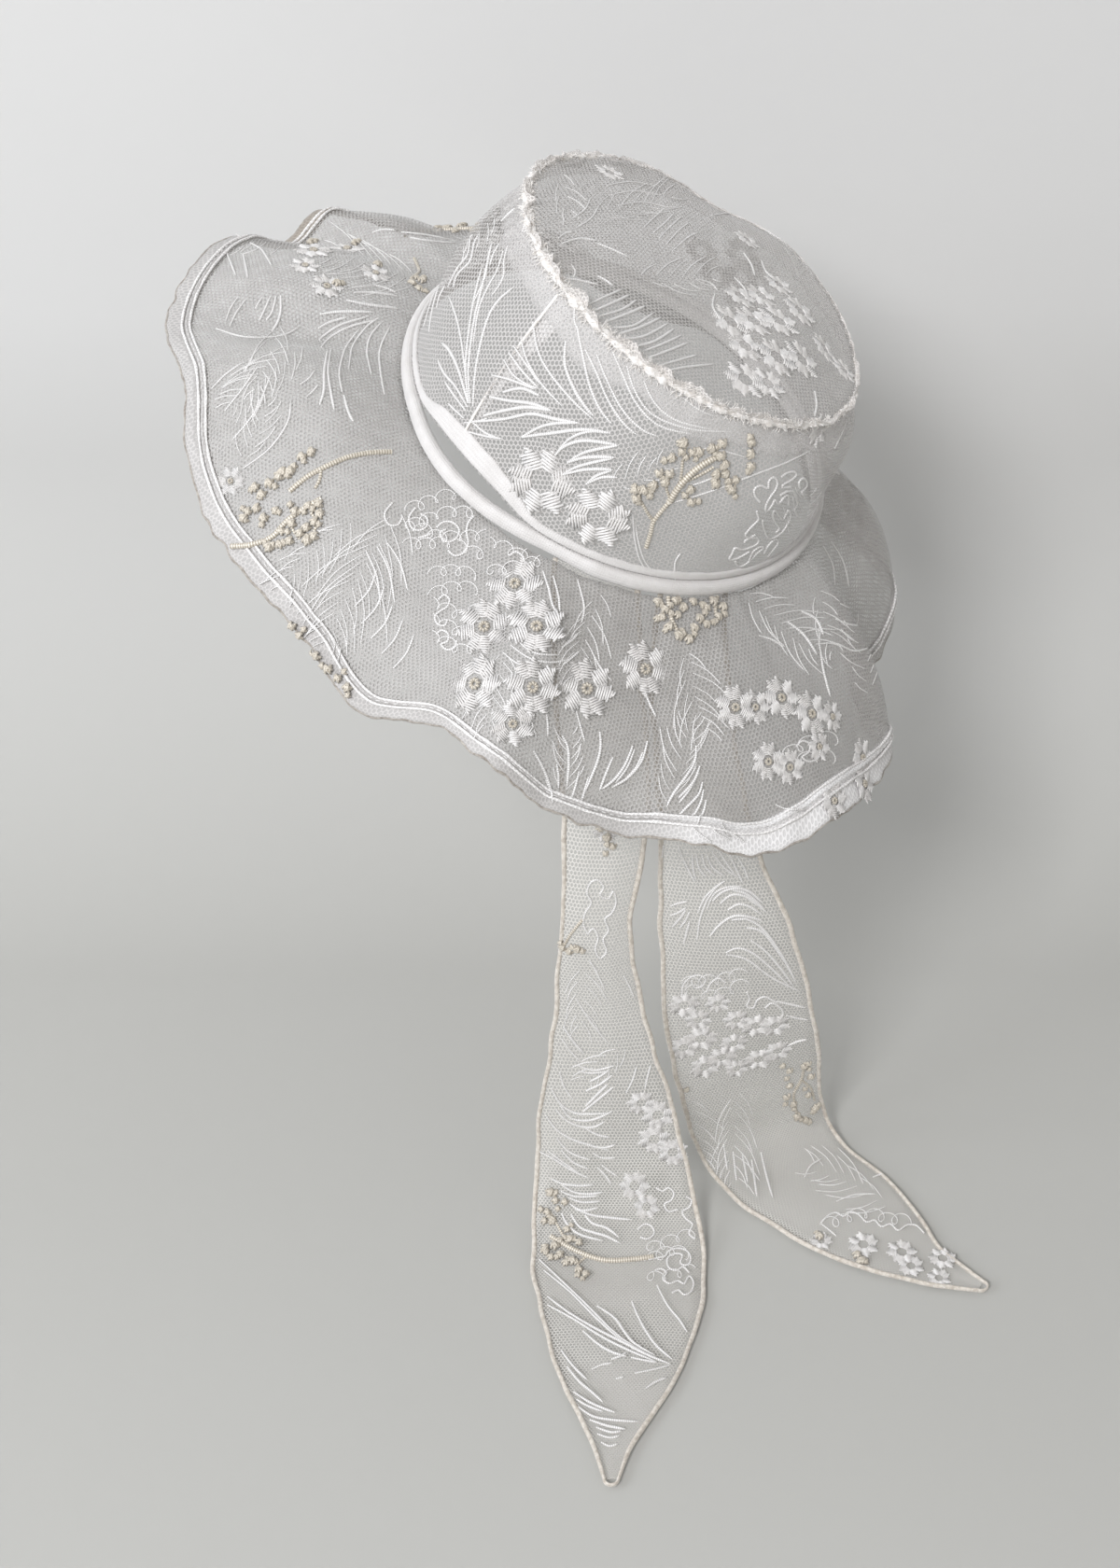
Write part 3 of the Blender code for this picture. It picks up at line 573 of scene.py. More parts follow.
def worn(point):
    """Hat's own frame to the frame of the worn hat."""
    return SLANT @ point


def ripple(angle, share, rings, seed):
    """Soft uneven wave round the hat, from -1 to 1."""
    turn = Vector((math.cos(angle), math.sin(angle), 0.0)) * rings
    return noise.noise(turn + Vector((seed, seed, share * 2.0)))


def band_middle(angle):
    bow = round_table(BAND_COLUMNS, BAND_ROWS, angle)["out"] * MM
    half_x = HEAD_HALF_X + 0.5 * BAND_WIDE
    half_y = HEAD_HALF_Y + 0.5 * BAND_WIDE
    out = oval_out(angle, half_x, half_y)
    return oval(angle, half_x, half_y) + out * bow, out


def binding_middle(angle):
    lift = round_table(BAND_COLUMNS, BAND_ROWS, angle)["lift"] * MM
    half_x = HEAD_HALF_X + 0.5 * BINDING_WIDE
    half_y = HEAD_HALF_Y + 0.5 * BINDING_WIDE
    height = 0.5 * (BAND_TALL + BINDING_TALL) + GAP + lift
    return oval(angle, half_x, half_y, height), oval_out(angle, half_x, half_y)


def tip_seam_middle(angle, inset=0.0):
    point = oval(angle, TIP_HALF_X - inset, TIP_HALF_Y - inset)
    dent = round_table(CROWN_COLUMNS, CROWN_ROWS, angle)["up"] * MM
    point.z = TIP_HEIGHT + TIP_LEAN_X * point.x + TIP_LEAN_Y * point.y + dent
    point.x += TIP_SHIFT_X
    return point


def crown_side_point(angle, share, stand_off=0.0):
    """Point on the side band, from the binding, at 0, to the tip seam, at 1, in the hat's frame."""
    foot, out = binding_middle(angle)
    foot = foot + UP * (0.5 * BINDING_TALL + GAP)
    head = tip_seam_middle(angle) - UP * (0.5 * SEAM_TALL + GAP)
    dent = round_table(CROWN_COLUMNS, CROWN_ROWS, angle)["out"] * MM
    swell = math.sin(math.pi * min(max(share, 0.0), 1.0))
    return foot.lerp(head, share) + out * ((SIDE_BULGE + dent) * swell + stand_off)


def crown_side_cloth(angle, share):
    """Side band with its fine gathers, which die out towards its middle."""
    share = SIDE_FOOT + share * SIDE_SPAN
    near_seam = max(0.0, 2.0 * share - 1.0) ** 2
    near_band = max(0.0, 1.0 - 2.5 * share) ** 2
    gather = 0.9 * near_seam * ripple(angle, 0.0, 11.0, 3.1) + 0.3 * near_band * ripple(angle, 0.0, 9.0, 7.7)
    drape = 4.0 * math.sin(math.pi * min(max(share, 0.0), 1.0)) * ripple(angle, share, 2.6, 1.3)
    return worn(crown_side_point(angle, share, (gather + drape) * MM))


def crown_tip_cloth(angle, share):
    """Tip from its middle, at 0, to its rim, at 1, with a slack fold or two."""
    rim = tip_seam_middle(angle, 0.05 * SEAM_WIDE)
    point = Vector((TIP_SHIFT_X, 0.0, TIP_HEIGHT)).lerp(rim, share)
    point.z += TIP_DOME * (1.0 - share * share)
    gather = 0.8 * max(0.0, 2.0 * share - 1.0) ** 2 * ripple(angle, 0.0, 9.0, 5.5)
    slack = 5.0 * noise.noise(Vector((point.x * 30.0, point.y * 16.0, 4.0))) * (1.0 - share * share)
    point.z += (gather + slack) * MM
    return worn(point)


def brim_table(angle):
    return round_table(BRIM_COLUMNS, BRIM_ROWS, angle)


def brim_point(angle, share):
    """Point on the brim, from the band, at 0, to its edge, at 1, in the hat's frame."""
    half_x = HEAD_HALF_X + 0.7 * BAND_WIDE
    half_y = HEAD_HALF_Y + 0.7 * BAND_WIDE
    foot = oval(angle, half_x, half_y, -0.5 * BAND_TALL - GAP - 0.6 * BRIM_WALL)
    fold = brim_table(angle)
    swell = math.sin(math.pi * min(share, 1.0))
    reach = fold["reach"] * share + 0.35 * fold["lift"] * swell
    rise = fold["rise"] * share + 0.75 * fold["lift"] * swell
    return foot + oval_out(angle, half_x, half_y) * (reach * MM) + UP * (rise * MM)


def brim_cloth(angle, share):
    """Brim with its small soft ripples, in the frame of the worn hat."""
    small = 8.4 * share * ripple(angle, share, 3.4, 2.2) + 1.3 * share * ripple(angle, share, 12.0, 8.4)
    gather = 1.4 * (1.0 - share) ** 2 * ripple(angle, 0.0, 18.0, 6.1)
    return worn(brim_point(angle, share) + UP * ((small + gather) * MM))


def streamer_station(rows, share):
    """Middle of a streamer, the direction across it and its width, at a share of its length."""
    row = long_table(STREAMER_COLUMNS, rows, share)
    turn = math.radians(row["turn"])
    slope = math.radians(row["slope"])
    across = Vector((math.cos(turn) * math.cos(slope), math.sin(turn) * math.cos(slope), math.sin(slope)))
    return Vector((row["x"], row["y"], row["z"])) * MM, across, row["width"] * MM


def streamer_face(rows, share):
    """Direction that the streamer's outer face points in."""
    before = streamer_station(rows, share - 0.01)[0]
    after = streamer_station(rows, share + 0.01)[0]
    across = streamer_station(rows, share)[1]
    return (after - before).normalized().cross(across).normalized()


def streamer_cloth(rows, share, side):
    """Point on a streamer's net, from its left edge, at -1, to its right edge, at 1."""
    middle, across, width = streamer_station(rows, share)
    half = 0.5 * width - 0.5 * STREAMER_ROLL
    bow = long_table(STREAMER_COLUMNS, rows, share)["bow"]
    inner = 1.0 - side * side
    wave = 1.1 * noise.noise(Vector((side * 1.2, share * 16.0, rows[0][0])))
    face = streamer_face(rows, share)
    point = middle + across * (half * side) + face * ((bow + wave) * inner * MM)
    point.z = max(point.z, FLOOR_Z + 1.2 * MM)
    return point


def streamer_edge_path(rows, steps=120):
    """Middle of the rolled edge and its face direction: down one side, round the tip and back up."""
    runs = []
    for side in (-1.0, 1.0):
        run = []
        for step in range(steps + 1):
            share = step / steps
            middle, across, width = streamer_station(rows, share)
            spot = middle + across * (side * 0.5 * (width - STREAMER_ROLL))
            run.append((spot, streamer_face(rows, share)))
        runs.append(run)
    tip, across, width = streamer_station(rows, 1.0)
    onward = (tip - streamer_station(rows, 0.98)[0]).normalized()
    face = streamer_face(rows, 1.0)
    turn = []
    for step in range(1, 8):
        angle = math.pi * step / 8.0
        sideways = across * (-STREAMER_TIP_TURN * math.cos(angle))
        turn.append((tip + sideways + onward * (STREAMER_TIP_TURN * math.sin(angle)), face))
    return runs[0] + turn + runs[1][::-1]


def new_piece(name, data):
    piece = bpy.data.objects.new(name, data)
    bpy.context.scene.collection.objects.link(piece)
    return piece


def mesh_from(name, points, faces, flats=None):
    """Smooth mesh. Flats gives, for every corner of every face, its place on the flat cloth in metres."""
    mesh = bpy.data.meshes.new(name)
    mesh.from_pydata([tuple(point) for point in points], [], faces)
    if flats is not None:
        layer = mesh.uv_layers.new(name="cloth")
        for loop, flat in zip(layer.data, flats):
            loop.uv = flat
    mesh.shade_smooth()
    return mesh


def grid_faces(rows, columns, closed, flip, ring=False):
    """Faces of a grid of points, and the row and column of each corner.

    Closed joins the last column to the first, and ring the last row to the first.
    """
    faces = []
    places = []
    for row in range(rows if ring else rows - 1):
        for column in range(columns if closed else columns - 1):
            corners = [(row, column), (row, column + 1), (row + 1, column + 1), (row + 1, column)]
            if flip:
                corners.reverse()
            faces.append([r % rows * columns + c % columns for r, c in corners])
            places += corners
    return faces, places


def grid_piece(name, place, flat, rows, columns, closed, flip):
    """Sheet through a grid of points. Place and flat take the two shares of the grid, each from 0 to 1."""
    across = columns if closed else columns - 1
    points = [place(c / across, r / (rows - 1)) for r in range(rows) for c in range(columns)]
    faces, places = grid_faces(rows, columns, closed, flip)
    flats = [flat(c / across, r / (rows - 1)) for r, c in places]
    return new_piece(name, mesh_from(name, points, faces, flats))


def wall(piece, thickness):
    """Give a sheet its two faces and its edge."""
    modifier = piece.modifiers.new("Wall", "SOLIDIFY")
    modifier.thickness = thickness
    modifier.offset = 0.0
    return modifier


def bar(name, frames, sections, length, girth, closed):
    """Bar along frames, each a middle, an outward and an upward direction. A closed one has no ends."""
    points = []
    for (middle, out, up), section in zip(frames, sections):
        points += [middle + out * a + up * b for a, b in section]
    count = len(frames)
    sides = len(points) // count
    faces, places = grid_faces(count, sides, True, False, closed)
    flats = [(s / count * length, t / sides * girth) for s, t in places]
    if not closed:
        for ring in (range(sides), range(len(points) - sides, len(points))):
            faces.append(list(ring))
            flats += [(0.0, 0.0)] * sides
    piece = new_piece(name, mesh_from(name, points, faces, flats))
    outward(piece.data)
    return piece


def ring_bar(name, frame_at, section_at, steps, around, girth=0.02):
    """Closed bar round the hat, from its frame and its section at every angle."""
    angles = [math.tau * step / steps for step in range(steps)]
    return bar(name, [frame_at(a) for a in angles], [section_at(a) for a in angles], around, girth, True)


def long_bar(name, frames, section_at, length):
    """Bar with two ends, from its frames and its section at every share of its length."""
    last = len(frames) - 1
    return bar(name, frames, [section_at(index / last) for index in range(last + 1)], length, 0.01, False)


def outward(mesh):
    """Turn every face of a closed mesh outwards."""
    shape = bmesh.new()
    shape.from_mesh(mesh)
    bmesh.ops.recalc_face_normals(shape, faces=shape.faces)
    shape.to_mesh(mesh)
    shape.free()


def round_section(wide, tall, sides, squareness=1.0):
    """Outward and upward distances of an oval section; a squareness below 1 fills its corners."""
    points = []
    for step in range(sides):
        angle = math.tau * step / sides
        across = math.copysign(abs(math.cos(angle)) ** squareness, math.cos(angle))
        upward = math.copysign(abs(math.sin(angle)) ** squareness, math.sin(angle))
        points.append((0.5 * wide * across, 0.5 * tall * upward))
    return points


class Cloth:
    """A sheet of net, with ways to find a point on it and the direction that its outer face points in."""

    def __init__(self, pieces, lift):
        points = []
        faces = []
        for piece in pieces:
            start = len(points)
            points += [vertex.co.copy() for vertex in piece.data.vertices]
            faces += [[start + corner for corner in face.vertices] for face in piece.data.polygons]
        self.tree = BVHTree.FromPolygons(points, faces)
        self.lift = lift

    def seen(self, x, y):
        """Where the camera's ray through a picture point first meets the cloth, or None."""
        ray = Vector((x - 0.5 * PICTURE_WIDE, 0.5 * PICTURE_TALL - y, -FOCAL_PIXELS))
        ray.rotate(CAMERA_TURN)
        spot, face = self.tree.ray_cast(CAMERA_AT, ray.normalized())[:2]
        return None if spot is None else (spot + face * self.lift, face)

    def path(self, points, count):
        """Where a smooth path through the picture meets the cloth."""
        return [self.seen(*point) for point in smooth_path(points, count)]

    def near(self, point):
        spot, face = self.tree.find_nearest(point)[:2]
        return spot + face * self.lift, face


class Threads:
    """Threads of one kind, kept as paths with a half width at each point."""

    def __init__(self):
        self.points = []
        self.edges = []
        self.halves = []

    def run(self, spots, halves):
        """One thread through spots on the cloth. It stops where the cloth ends or jumps away."""
        kept = []
        for spot, half in zip(spots, halves):
            if spot is None:
                break
            if kept and (spot[0] - kept[-1][0]).length > 12.0 * MM:
                break
            kept.append((spot[0], half))
        if len(kept) < 3:
            return
        start = len(self.points)
        for index, (point, half) in enumerate(kept):
            self.points.append(point)
            self.halves.append(half)
            if index:
                self.edges.append((start + index - 1, start + index))

    def satin(self, spots, thick):
        """Satin stitch: starts fine, swells and ends in a point."""
        last = len(spots) - 1
        halves = []
        for index in range(last + 1):
            share = index / last
            swell = 0.42 + 0.58 * math.sin(math.pi * min(1.0, 0.12 + share * 0.62))
            end = min(1.0, (1.0 - share) * 6.0 + 0.25)
            halves.append(0.5 * thick * MM * swell * end)
        self.run(spots, halves)

    def even(self, spots, thick):
        self.run(spots, [0.5 * thick * MM] * len(spots))


def local_frame(spot, turn):
    """Two directions that lie in the cloth at a spot, turned by some degrees."""
    face = spot[1]
    side = face.cross(UP)
    if side.length < 0.05:
        side = Vector((1.0, 0.0, 0.0))
    side = side - face * side.dot(face)
    side.normalize()
    along = face.cross(side).normalized()
    angle = math.radians(turn)
    x = side * math.cos(angle) + along * math.sin(angle)
    return x, face.cross(x).normalized()


def laid(cloth, spot, turn, points):
    """Points in millimetres on the flat, turned by some degrees and laid on the cloth round a spot."""
    x, y = local_frame(spot, turn)
    return [cloth.near(spot[0] + x * (p[0] * MM) + y * (p[1] * MM)) for p in points]


def open_tree(name, inputs, output):
    """New geometry tree with its named inputs and output, and the sockets that give the inputs."""
    tree = bpy.data.node_groups.new(name, "GeometryNodeTree")
    for title, kind in inputs:
        tree.interface.new_socket(title, in_out="INPUT", socket_type="NodeSocket" + kind)
    tree.interface.new_socket(output, in_out="OUTPUT", socket_type="NodeSocketGeometry")
    return tree, add(tree, "NodeGroupInput").outputs


def close_tree(tree, geometry, material, output):
    """Make what a tree has placed real, give it its material and hand it out."""
    real = add(tree, "GeometryNodeRealizeInstances", {"Geometry": geometry})
    done = add(tree, "GeometryNodeSetMaterial", {"Geometry": real.outputs[0], "Material": material})
    add(tree, "NodeGroupOutput", {output: done.outputs[0]})
    return tree


def named(tree, name, kind):
    """Output that reads an attribute of the source mesh."""
    return add(tree, "GeometryNodeInputNamedAttribute", {"Name": name}, data_type=kind).outputs[0]


def curve_tree(name, sides):
    """Geometry nodes that turn thread paths into round cords as thick as their half width says."""
    inputs = (("Paths", "Geometry"), ("Material", "Material"), ("Thickness", "Float"))
    tree, given = open_tree(name, inputs, "Cords")
    half = named(tree, "half", "FLOAT")
    curve = add(tree, "GeometryNodeMeshToCurve", {"Mesh": given["Paths"]})
    along = add(tree, "GeometryNodeSplineParameter")
    marked = add(tree, "GeometryNodeStoreNamedAttribute",
                 {"Geometry": curve.outputs[0], "Name": "along", "Value": along.outputs["Length"]})
    scaled = maths(tree, "MULTIPLY", half, given["Thickness"])
    ring = add(tree, "GeometryNodeCurvePrimitiveCircle", {"Resolution": sides, "Radius": 1.0})
    cord = add(tree, "GeometryNodeCurveToMesh",
               {"Curve": marked.outputs[0], "Profile Curve": ring.outputs[0], "Scale": scaled,
                "Fill Caps": True})
    return close_tree(tree, cord.outputs[0], given["Material"], "Cords")


def scatter_tree(name):
    """Geometry nodes that set one small shape at every point, turned and sized as the point says."""
    inputs = (("Points", "Geometry"), ("Shape", "Object"), ("Material", "Material"))
    tree, given = open_tree(name, inputs, "Shapes")
    turn = named(tree, "turn", "FLOAT_VECTOR")
    size = named(tree, "size", "FLOAT_VECTOR")
    rotation = add(tree, "FunctionNodeEulerToRotation", {"Euler": turn})
    shape = add(tree, "GeometryNodeObjectInfo", {"Object": given["Shape"], "As Instance": True})
    placed = add(tree, "GeometryNodeInstanceOnPoints",
                 {"Points": given["Points"], "Instance": shape.outputs["Geometry"],
                  "Rotation": rotation.outputs[0], "Scale": size})
    return close_tree(tree, placed.outputs[0], given["Material"], "Shapes")


def made_by(tree, name, source, **values):
    """Run a geometry tree on a source mesh and keep its result as a plain mesh."""
    carrier = new_piece(name + "_source", source)
    modifier = carrier.modifiers.new("Make", "NODES")
    modifier.node_group = tree
    for socket in tree.interface.items_tree:
        if socket.in_out == "INPUT" and socket.name.lower() in values:
            modifier[socket.identifier] = values[socket.name.lower()]
    evaluated = carrier.evaluated_get(bpy.context.evaluated_depsgraph_get())
    mesh = bpy.data.meshes.new_from_object(evaluated)
    mesh.name = name
    mesh.shade_smooth()
    bpy.data.objects.remove(carrier)
    return new_piece(name, mesh)


def cords(tree, name, threads, material):
    """Cords from a collection of threads."""
    source = bpy.data.meshes.new(name + "_paths")
    source.from_pydata([tuple(point) for point in threads.points], threads.edges, [])
    half = source.attributes.new("half", "FLOAT", "POINT")
    half.data.foreach_set("value", threads.halves)
    return made_by(tree, name, source, material=material, thickness=1.0)


def scattered(tree, name, places, shape, material):
    """One shape at many places. A place is a point, three directions as columns, and a size along each."""
    source = bpy.data.meshes.new(name + "_points")
    source.from_pydata([tuple(point) for point, turn, size in places], [], [])
    turns = source.attributes.new("turn", "FLOAT_VECTOR", "POINT")
    sizes = source.attributes.new("size", "FLOAT_VECTOR", "POINT")
    for index, (point, turn, size) in enumerate(places):
        turns.data[index].vector = turn.to_euler()
        sizes.data[index].vector = size
    return made_by(tree, name, source, shape=shape, material=material)


def basis(x, y, z):
    """Turn that has three directions as its columns."""
    return Matrix((x, y, z)).transposed()


# Shapes that repeat


def finished_shape(name, solids):
    """Skin each row of rings of points, turn the faces outwards and keep the shape as a hidden pattern."""
    shape = bmesh.new()
    for rings in solids:
        rows = [[shape.verts.new(point) for point in ring] for ring in rings]
        sides = len(rows[0])
        for first, second in zip(rows, rows[1:]):
            for side in range(sides):
                other = (side + 1) % sides
                shape.faces.new((first[side], first[other], second[other], second[side]))
        shape.faces.new(rows[0][::-1])
        shape.faces.new(rows[-1])
    bmesh.ops.recalc_face_normals(shape, faces=shape.faces)
    mesh = bpy.data.meshes.new(name)
    shape.to_mesh(mesh)
    shape.free()
    piece = new_piece(name, mesh)
    piece.hide_render = True
    return piece


def lens(spot, reach, rise, sink):
    """Ring of four points: one on either side of a spot, one above it and one below."""
    return spot - reach, spot + UP * rise, spot + reach, spot - UP * sink


def level(angle):
    """Direction at an angle in the level, and the one square to it."""
    along = Vector((math.cos(angle), math.sin(angle), 0.0))
    return along, Vector((-along.y, along.x, 0.0))


def satin_petal(direction, long, wide, seed, height):
    """One petal of parallel satin stitches that lie across it, with an uneven edge."""
    rng = random.Random(seed)
    along, across = level(direction)
    stitches = 8
    pitch = long / stitches
    solids = []
    for index in range(stitches):
        share = (index + 0.5) / stitches
        start = 0.16 + share * long
        half = 0.5 * wide * (math.sin(math.pi * min(0.92, 0.22 + 0.72 * share)) ** 0.7)
        if index >= stitches - 2:
            half *= 0.62
        left = -half * rng.uniform(0.72, 1.18)
        right = half * rng.uniform(0.72, 1.18)
        lean = along * (rng.uniform(-0.25, 0.25) * pitch + 0.35 * pitch)
        middle = along * start
        rise = height * (1.0 - 0.35 * share)
        ends = (middle + across * left - lean, middle, middle + across * right + lean)
        solids.append([lens(spot, along * (0.52 * pitch), rise * top, 0.3 * height)
                       for spot, top in zip(ends, (0.35, 1.0, 0.35))])
    return solids


def flower_shape(name, directions, height):
    """Petals of a star flower, one unit across, in the given directions in degrees."""
    solids = []
    for index, degrees in enumerate(directions):
        solids += satin_petal(math.radians(degrees), 0.34, 0.31, 11 * index + len(directions), height)
    return finished_shape(name, solids)


def knot_shape(name):
    """Wound flower heart, one unit across: short loops of thread round a hollow middle."""
    turns = 9
    solids = []
    for turn in range(turns):
        out, side = level(math.tau * turn / turns)
        rings = []
        for reach, top in ((0.14, 0.05), (0.3, 0.24), (0.48, 0.03)):
            spot = out * reach + UP * top + side * (0.12 * reach)
            rings.append(lens(spot, side * (0.10 + 0.09 * reach), 0.11, 0.08))
        solids.append(rings)
    return finished_shape(name, solids)


def berry_shape(name):
    """Knotted berry, one unit across: short bars of thread wound over each other in a small mound."""
    rng = random.Random(23)
    solids = []
    for turn in range(8):
        along, side = level(2.4 * turn)
        slip = side * rng.uniform(-0.2, 0.2)
        rings = []
        for place, top in ((-0.38, 0.02), (-0.24, 0.2), (0.0, 0.28), (0.24, 0.2), (0.38, 0.02)):
            spot = along * (place * rng.uniform(0.85, 1.15)) + slip + UP * (top + 0.012 * turn)
            rings.append(lens(spot, side * 0.12, 0.085, 0.085))
        solids.append(rings)
    return finished_shape(name, solids)


def stitch_shape(name):
    """One short stitch along X, one unit long and one unit thick, with rounded ends."""
    turns = [math.tau * step / 5 for step in range(5)]
    return finished_shape(name, [[[(along, half * math.cos(turn), half * math.sin(turn)) for turn in turns]
                                  for along, half in ((-0.5, 0.25), (-0.3, 0.5), (0.3, 0.5), (0.5, 0.25))]])


# Materials


# A wave texture of scale 1 draws 20 bands in a length of one whole turn
WAVE_BANDS = 20.0
WAVE_LENGTH = 6.2832


def new_material(name):
    material = bpy.data.materials.new(name)
    material.use_nodes = True
    tree = material.node_tree
    tree.nodes.clear()
    shader = add(tree, "ShaderNodeBsdfPrincipled")
    add(tree, "ShaderNodeOutputMaterial", {"Surface": shader.outputs[0]})
    return material, tree, shader


def cloudy(tree, place, scale, detail, **more):
    """Outputs of a noise, with its scale per metre."""
    inputs = {"Vector": place, "Scale": scale, "Detail": detail, **more}
    return add(tree, "ShaderNodeTexNoise", inputs).outputs


def spread(tree, value, low=0.0, high=1.0, to=(0.0, 1.0), **settings):
    """Output that runs from the first to the second of a pair while a value runs from low to high."""
    inputs = {"Value": value, "From Min": low, "From Max": high, "To Min": to[0], "To Max": to[1]}
    return add(tree, "ShaderNodeMapRange", inputs, **settings).outputs[0]


def blend(tree, share, dark, light):
    """Colour between two, each an output or a hex value."""
    pair = [srgb(colour) if isinstance(colour, str) else colour for colour in (dark, light)]
    return add(tree, "ShaderNodeMix", {0: share, 6: pair[0], 7: pair[1]}, data_type="RGBA").outputs[2]


def surface(tree, shader, colour, height, strength, distance, **values):
    """Give a shader its colour, its relief and its constants."""
    bump = add(tree, "ShaderNodeBump", {"Height": height, "Strength": strength, "Distance": distance * MM})
    tree.links.new(colour, shader.inputs["Base Color"])
    tree.links.new(bump.outputs[0], shader.inputs["Normal"])
    for name, value in values.items():
        shader.inputs[name.replace("_", " ").title()].default_value = value


def net_material(name, light, dark, cell, turn, thread_cover, hole_cover, stretches=()):
    """Machine-made hexagonal nylon net: matt threads round open cells, so what is behind shows through.

    The real cell is 1.5 mm wide. It is drawn a little coarser, because at 1.5 mm it blurs to a flat veil.
    Stretches change the colour for a way along the cloth: middle and half length in metres, and colour.
    """
    material, tree, shader = new_material(name)
    flat = add(tree, "ShaderNodeUVMap", uv_map="cloth").outputs[0]
    wander = cloudy(tree, flat, 30.0, 1.0)["Color"]
    pulled = add(tree, "ShaderNodeVectorMath", {0: wander, 1: (1.2 * MM,) * 3}, operation="MULTIPLY")
    moved = add(tree, "ShaderNodeVectorMath", {0: flat, 1: pulled.outputs[0]}, operation="ADD")
    # Three waves at 120 degrees peak together in the middle of each cell
    number = 4.0 * math.pi / (math.sqrt(3.0) * cell * MM)
    total = None
    for step in range(3):
        angle = math.radians(turn + 120.0 * step)
        wave = (number * math.cos(angle), number * math.sin(angle), 0.0)
        phase = add(tree, "ShaderNodeVectorMath", {0: moved.outputs[0], 1: wave}, operation="DOT_PRODUCT")
        crest = maths(tree, "COSINE", phase.outputs["Value"])
        total = crest if total is None else maths(tree, "ADD", total, crest)
    thread = spread(tree, total, 0.0, -0.85, interpolation_type="SMOOTHSTEP")
    cover = spread(tree, thread, to=(hole_cover, thread_cover))
    colour = blend(tree, cloudy(tree, flat, 60.0, 3.0)[0], dark, light)
    for middle, half, code in stretches:
        place = add(tree, "ShaderNodeSeparateXYZ", {0: flat})
        away = maths(tree, "ABSOLUTE", maths(tree, "SUBTRACT", place.outputs["X"], middle))
        share = spread(tree, away, half, 0.3 * half, interpolation_type="SMOOTHSTEP")
        colour = blend(tree, share, colour, code)
    tree.links.new(cover, shader.inputs["Alpha"])
    surface(tree, shader, colour, thread, 0.5, 0.3, roughness=0.62, sheen_weight=0.25)
    return material


def cloth_material(name, light, dark, weave, height, roughness, sheen):
    """Plain woven cotton tape: a fine even weave under soft fuzz, so it is matt and bright."""
    material, tree, shader = new_material(name)
    flat = add(tree, "ShaderNodeUVMap", uv_map="cloth").outputs[0]
    colour = blend(tree, cloudy(tree, flat, 140.0, 4.0)[0], dark, light)
    # Warp and weft as two crossed waves, drawn at 1 mm where real threads are 0.4 mm
    inputs = {"Vector": flat, "Scale": 1.0 / (weave * MM) / WAVE_BANDS * WAVE_LENGTH,
              "Distortion": 0.6, "Detail": 1.0}
    waves = [add(tree, "ShaderNodeTexWave", inputs, bands_direction=way).outputs["Fac"] for way in "XY"]
    threads = maths(tree, "MAXIMUM", *waves)
    relief = maths(tree, "ADD", threads, cloudy(tree, flat, 320.0, 3.0)[0])
    surface(tree, shader, colour, relief, 0.5, height, roughness=roughness, sheen_weight=sheen)
    return material


def thread_material(name, light, dark, roughness, metallic, pitch):
    """Embroidery thread: twisted filaments whose turns catch the light as fine stripes along each stitch."""
    material, tree, shader = new_material(name)
    along = add(tree, "ShaderNodeAttribute", attribute_name="along").outputs["Fac"]
    place = add(tree, "ShaderNodeTexCoord").outputs["Object"]
    strand = cloudy(tree, place, 900.0, 2.0)[0]
    twist = maths(tree, "SINE", maths(tree, "MULTIPLY", along, math.tau / (pitch * MM)))
    mixed = maths(tree, "MULTIPLY", strand, spread(tree, twist, -1.0, 1.0))
    # Painted highlight and painted shade: the colour is lighter on the raised turns of the twist and darker
    # in the grooves between them, along with the relief.
    colour = blend(tree, spread(tree, mixed, 0.0, 0.55), dark, light)
    surface(tree, shader, colour, mixed, 0.6, 0.25, roughness=roughness, metallic=metallic, sheen_weight=0.3)
    return material


def fluffy_material(name, light, dark, cover):
    """Raw net edges rolled, overcast or wound with thread: short felted fibres, with painted shade in the
    pits between them.
    """
    material, tree, shader = new_material(name)
    place = add(tree, "ShaderNodeTexCoord").outputs["Object"]
    tuft = cloudy(tree, place, 420.0, 4.0, Roughness=0.7)[0]
    # Painted shade: the colour darkens where the tufts' relief is low, in the pits.
    colour = blend(tree, spread(tree, tuft, 0.35, 0.62), dark, light)
    surface(tree, shader, colour, tuft, 0.8, 0.8, alpha=cover, roughness=0.85, sheen_weight=0.5)
    return material


def paper_material(name, low, high):
    """Matt backdrop paper with a very soft mottle, and painted shade that makes it a little darker on the
    floor than on the wall.

    It shows only from the front, so that the hat can be looked at from behind as well.
    """
    material, tree, shader = new_material(name)
    place = add(tree, "ShaderNodeTexCoord").outputs["Object"]
    spot = add(tree, "ShaderNodeSeparateXYZ", {0: place})
    # Painted shade: the colour runs from the darker floor tone up to the lighter wall tone over the first
    # 0.30 m of height.
    height = spread(tree, spot.outputs["Z"], FLOOR_Z, FLOOR_Z + 0.30)
    tone = maths(tree, "MULTIPLY", cloudy(tree, place, 3.0, 2.0)[0], 0.1)
    base = blend(tree, maths(tree, "ADD", tone, height), low, high)
    side = add(tree, "ShaderNodeNewGeometry")
    tree.links.new(base, shader.inputs["Base Color"])
    tree.links.new(maths(tree, "SUBTRACT", 1.0, side.outputs["Backfacing"]), shader.inputs["Alpha"])
    shader.inputs["Roughness"].default_value = 0.95
    return material


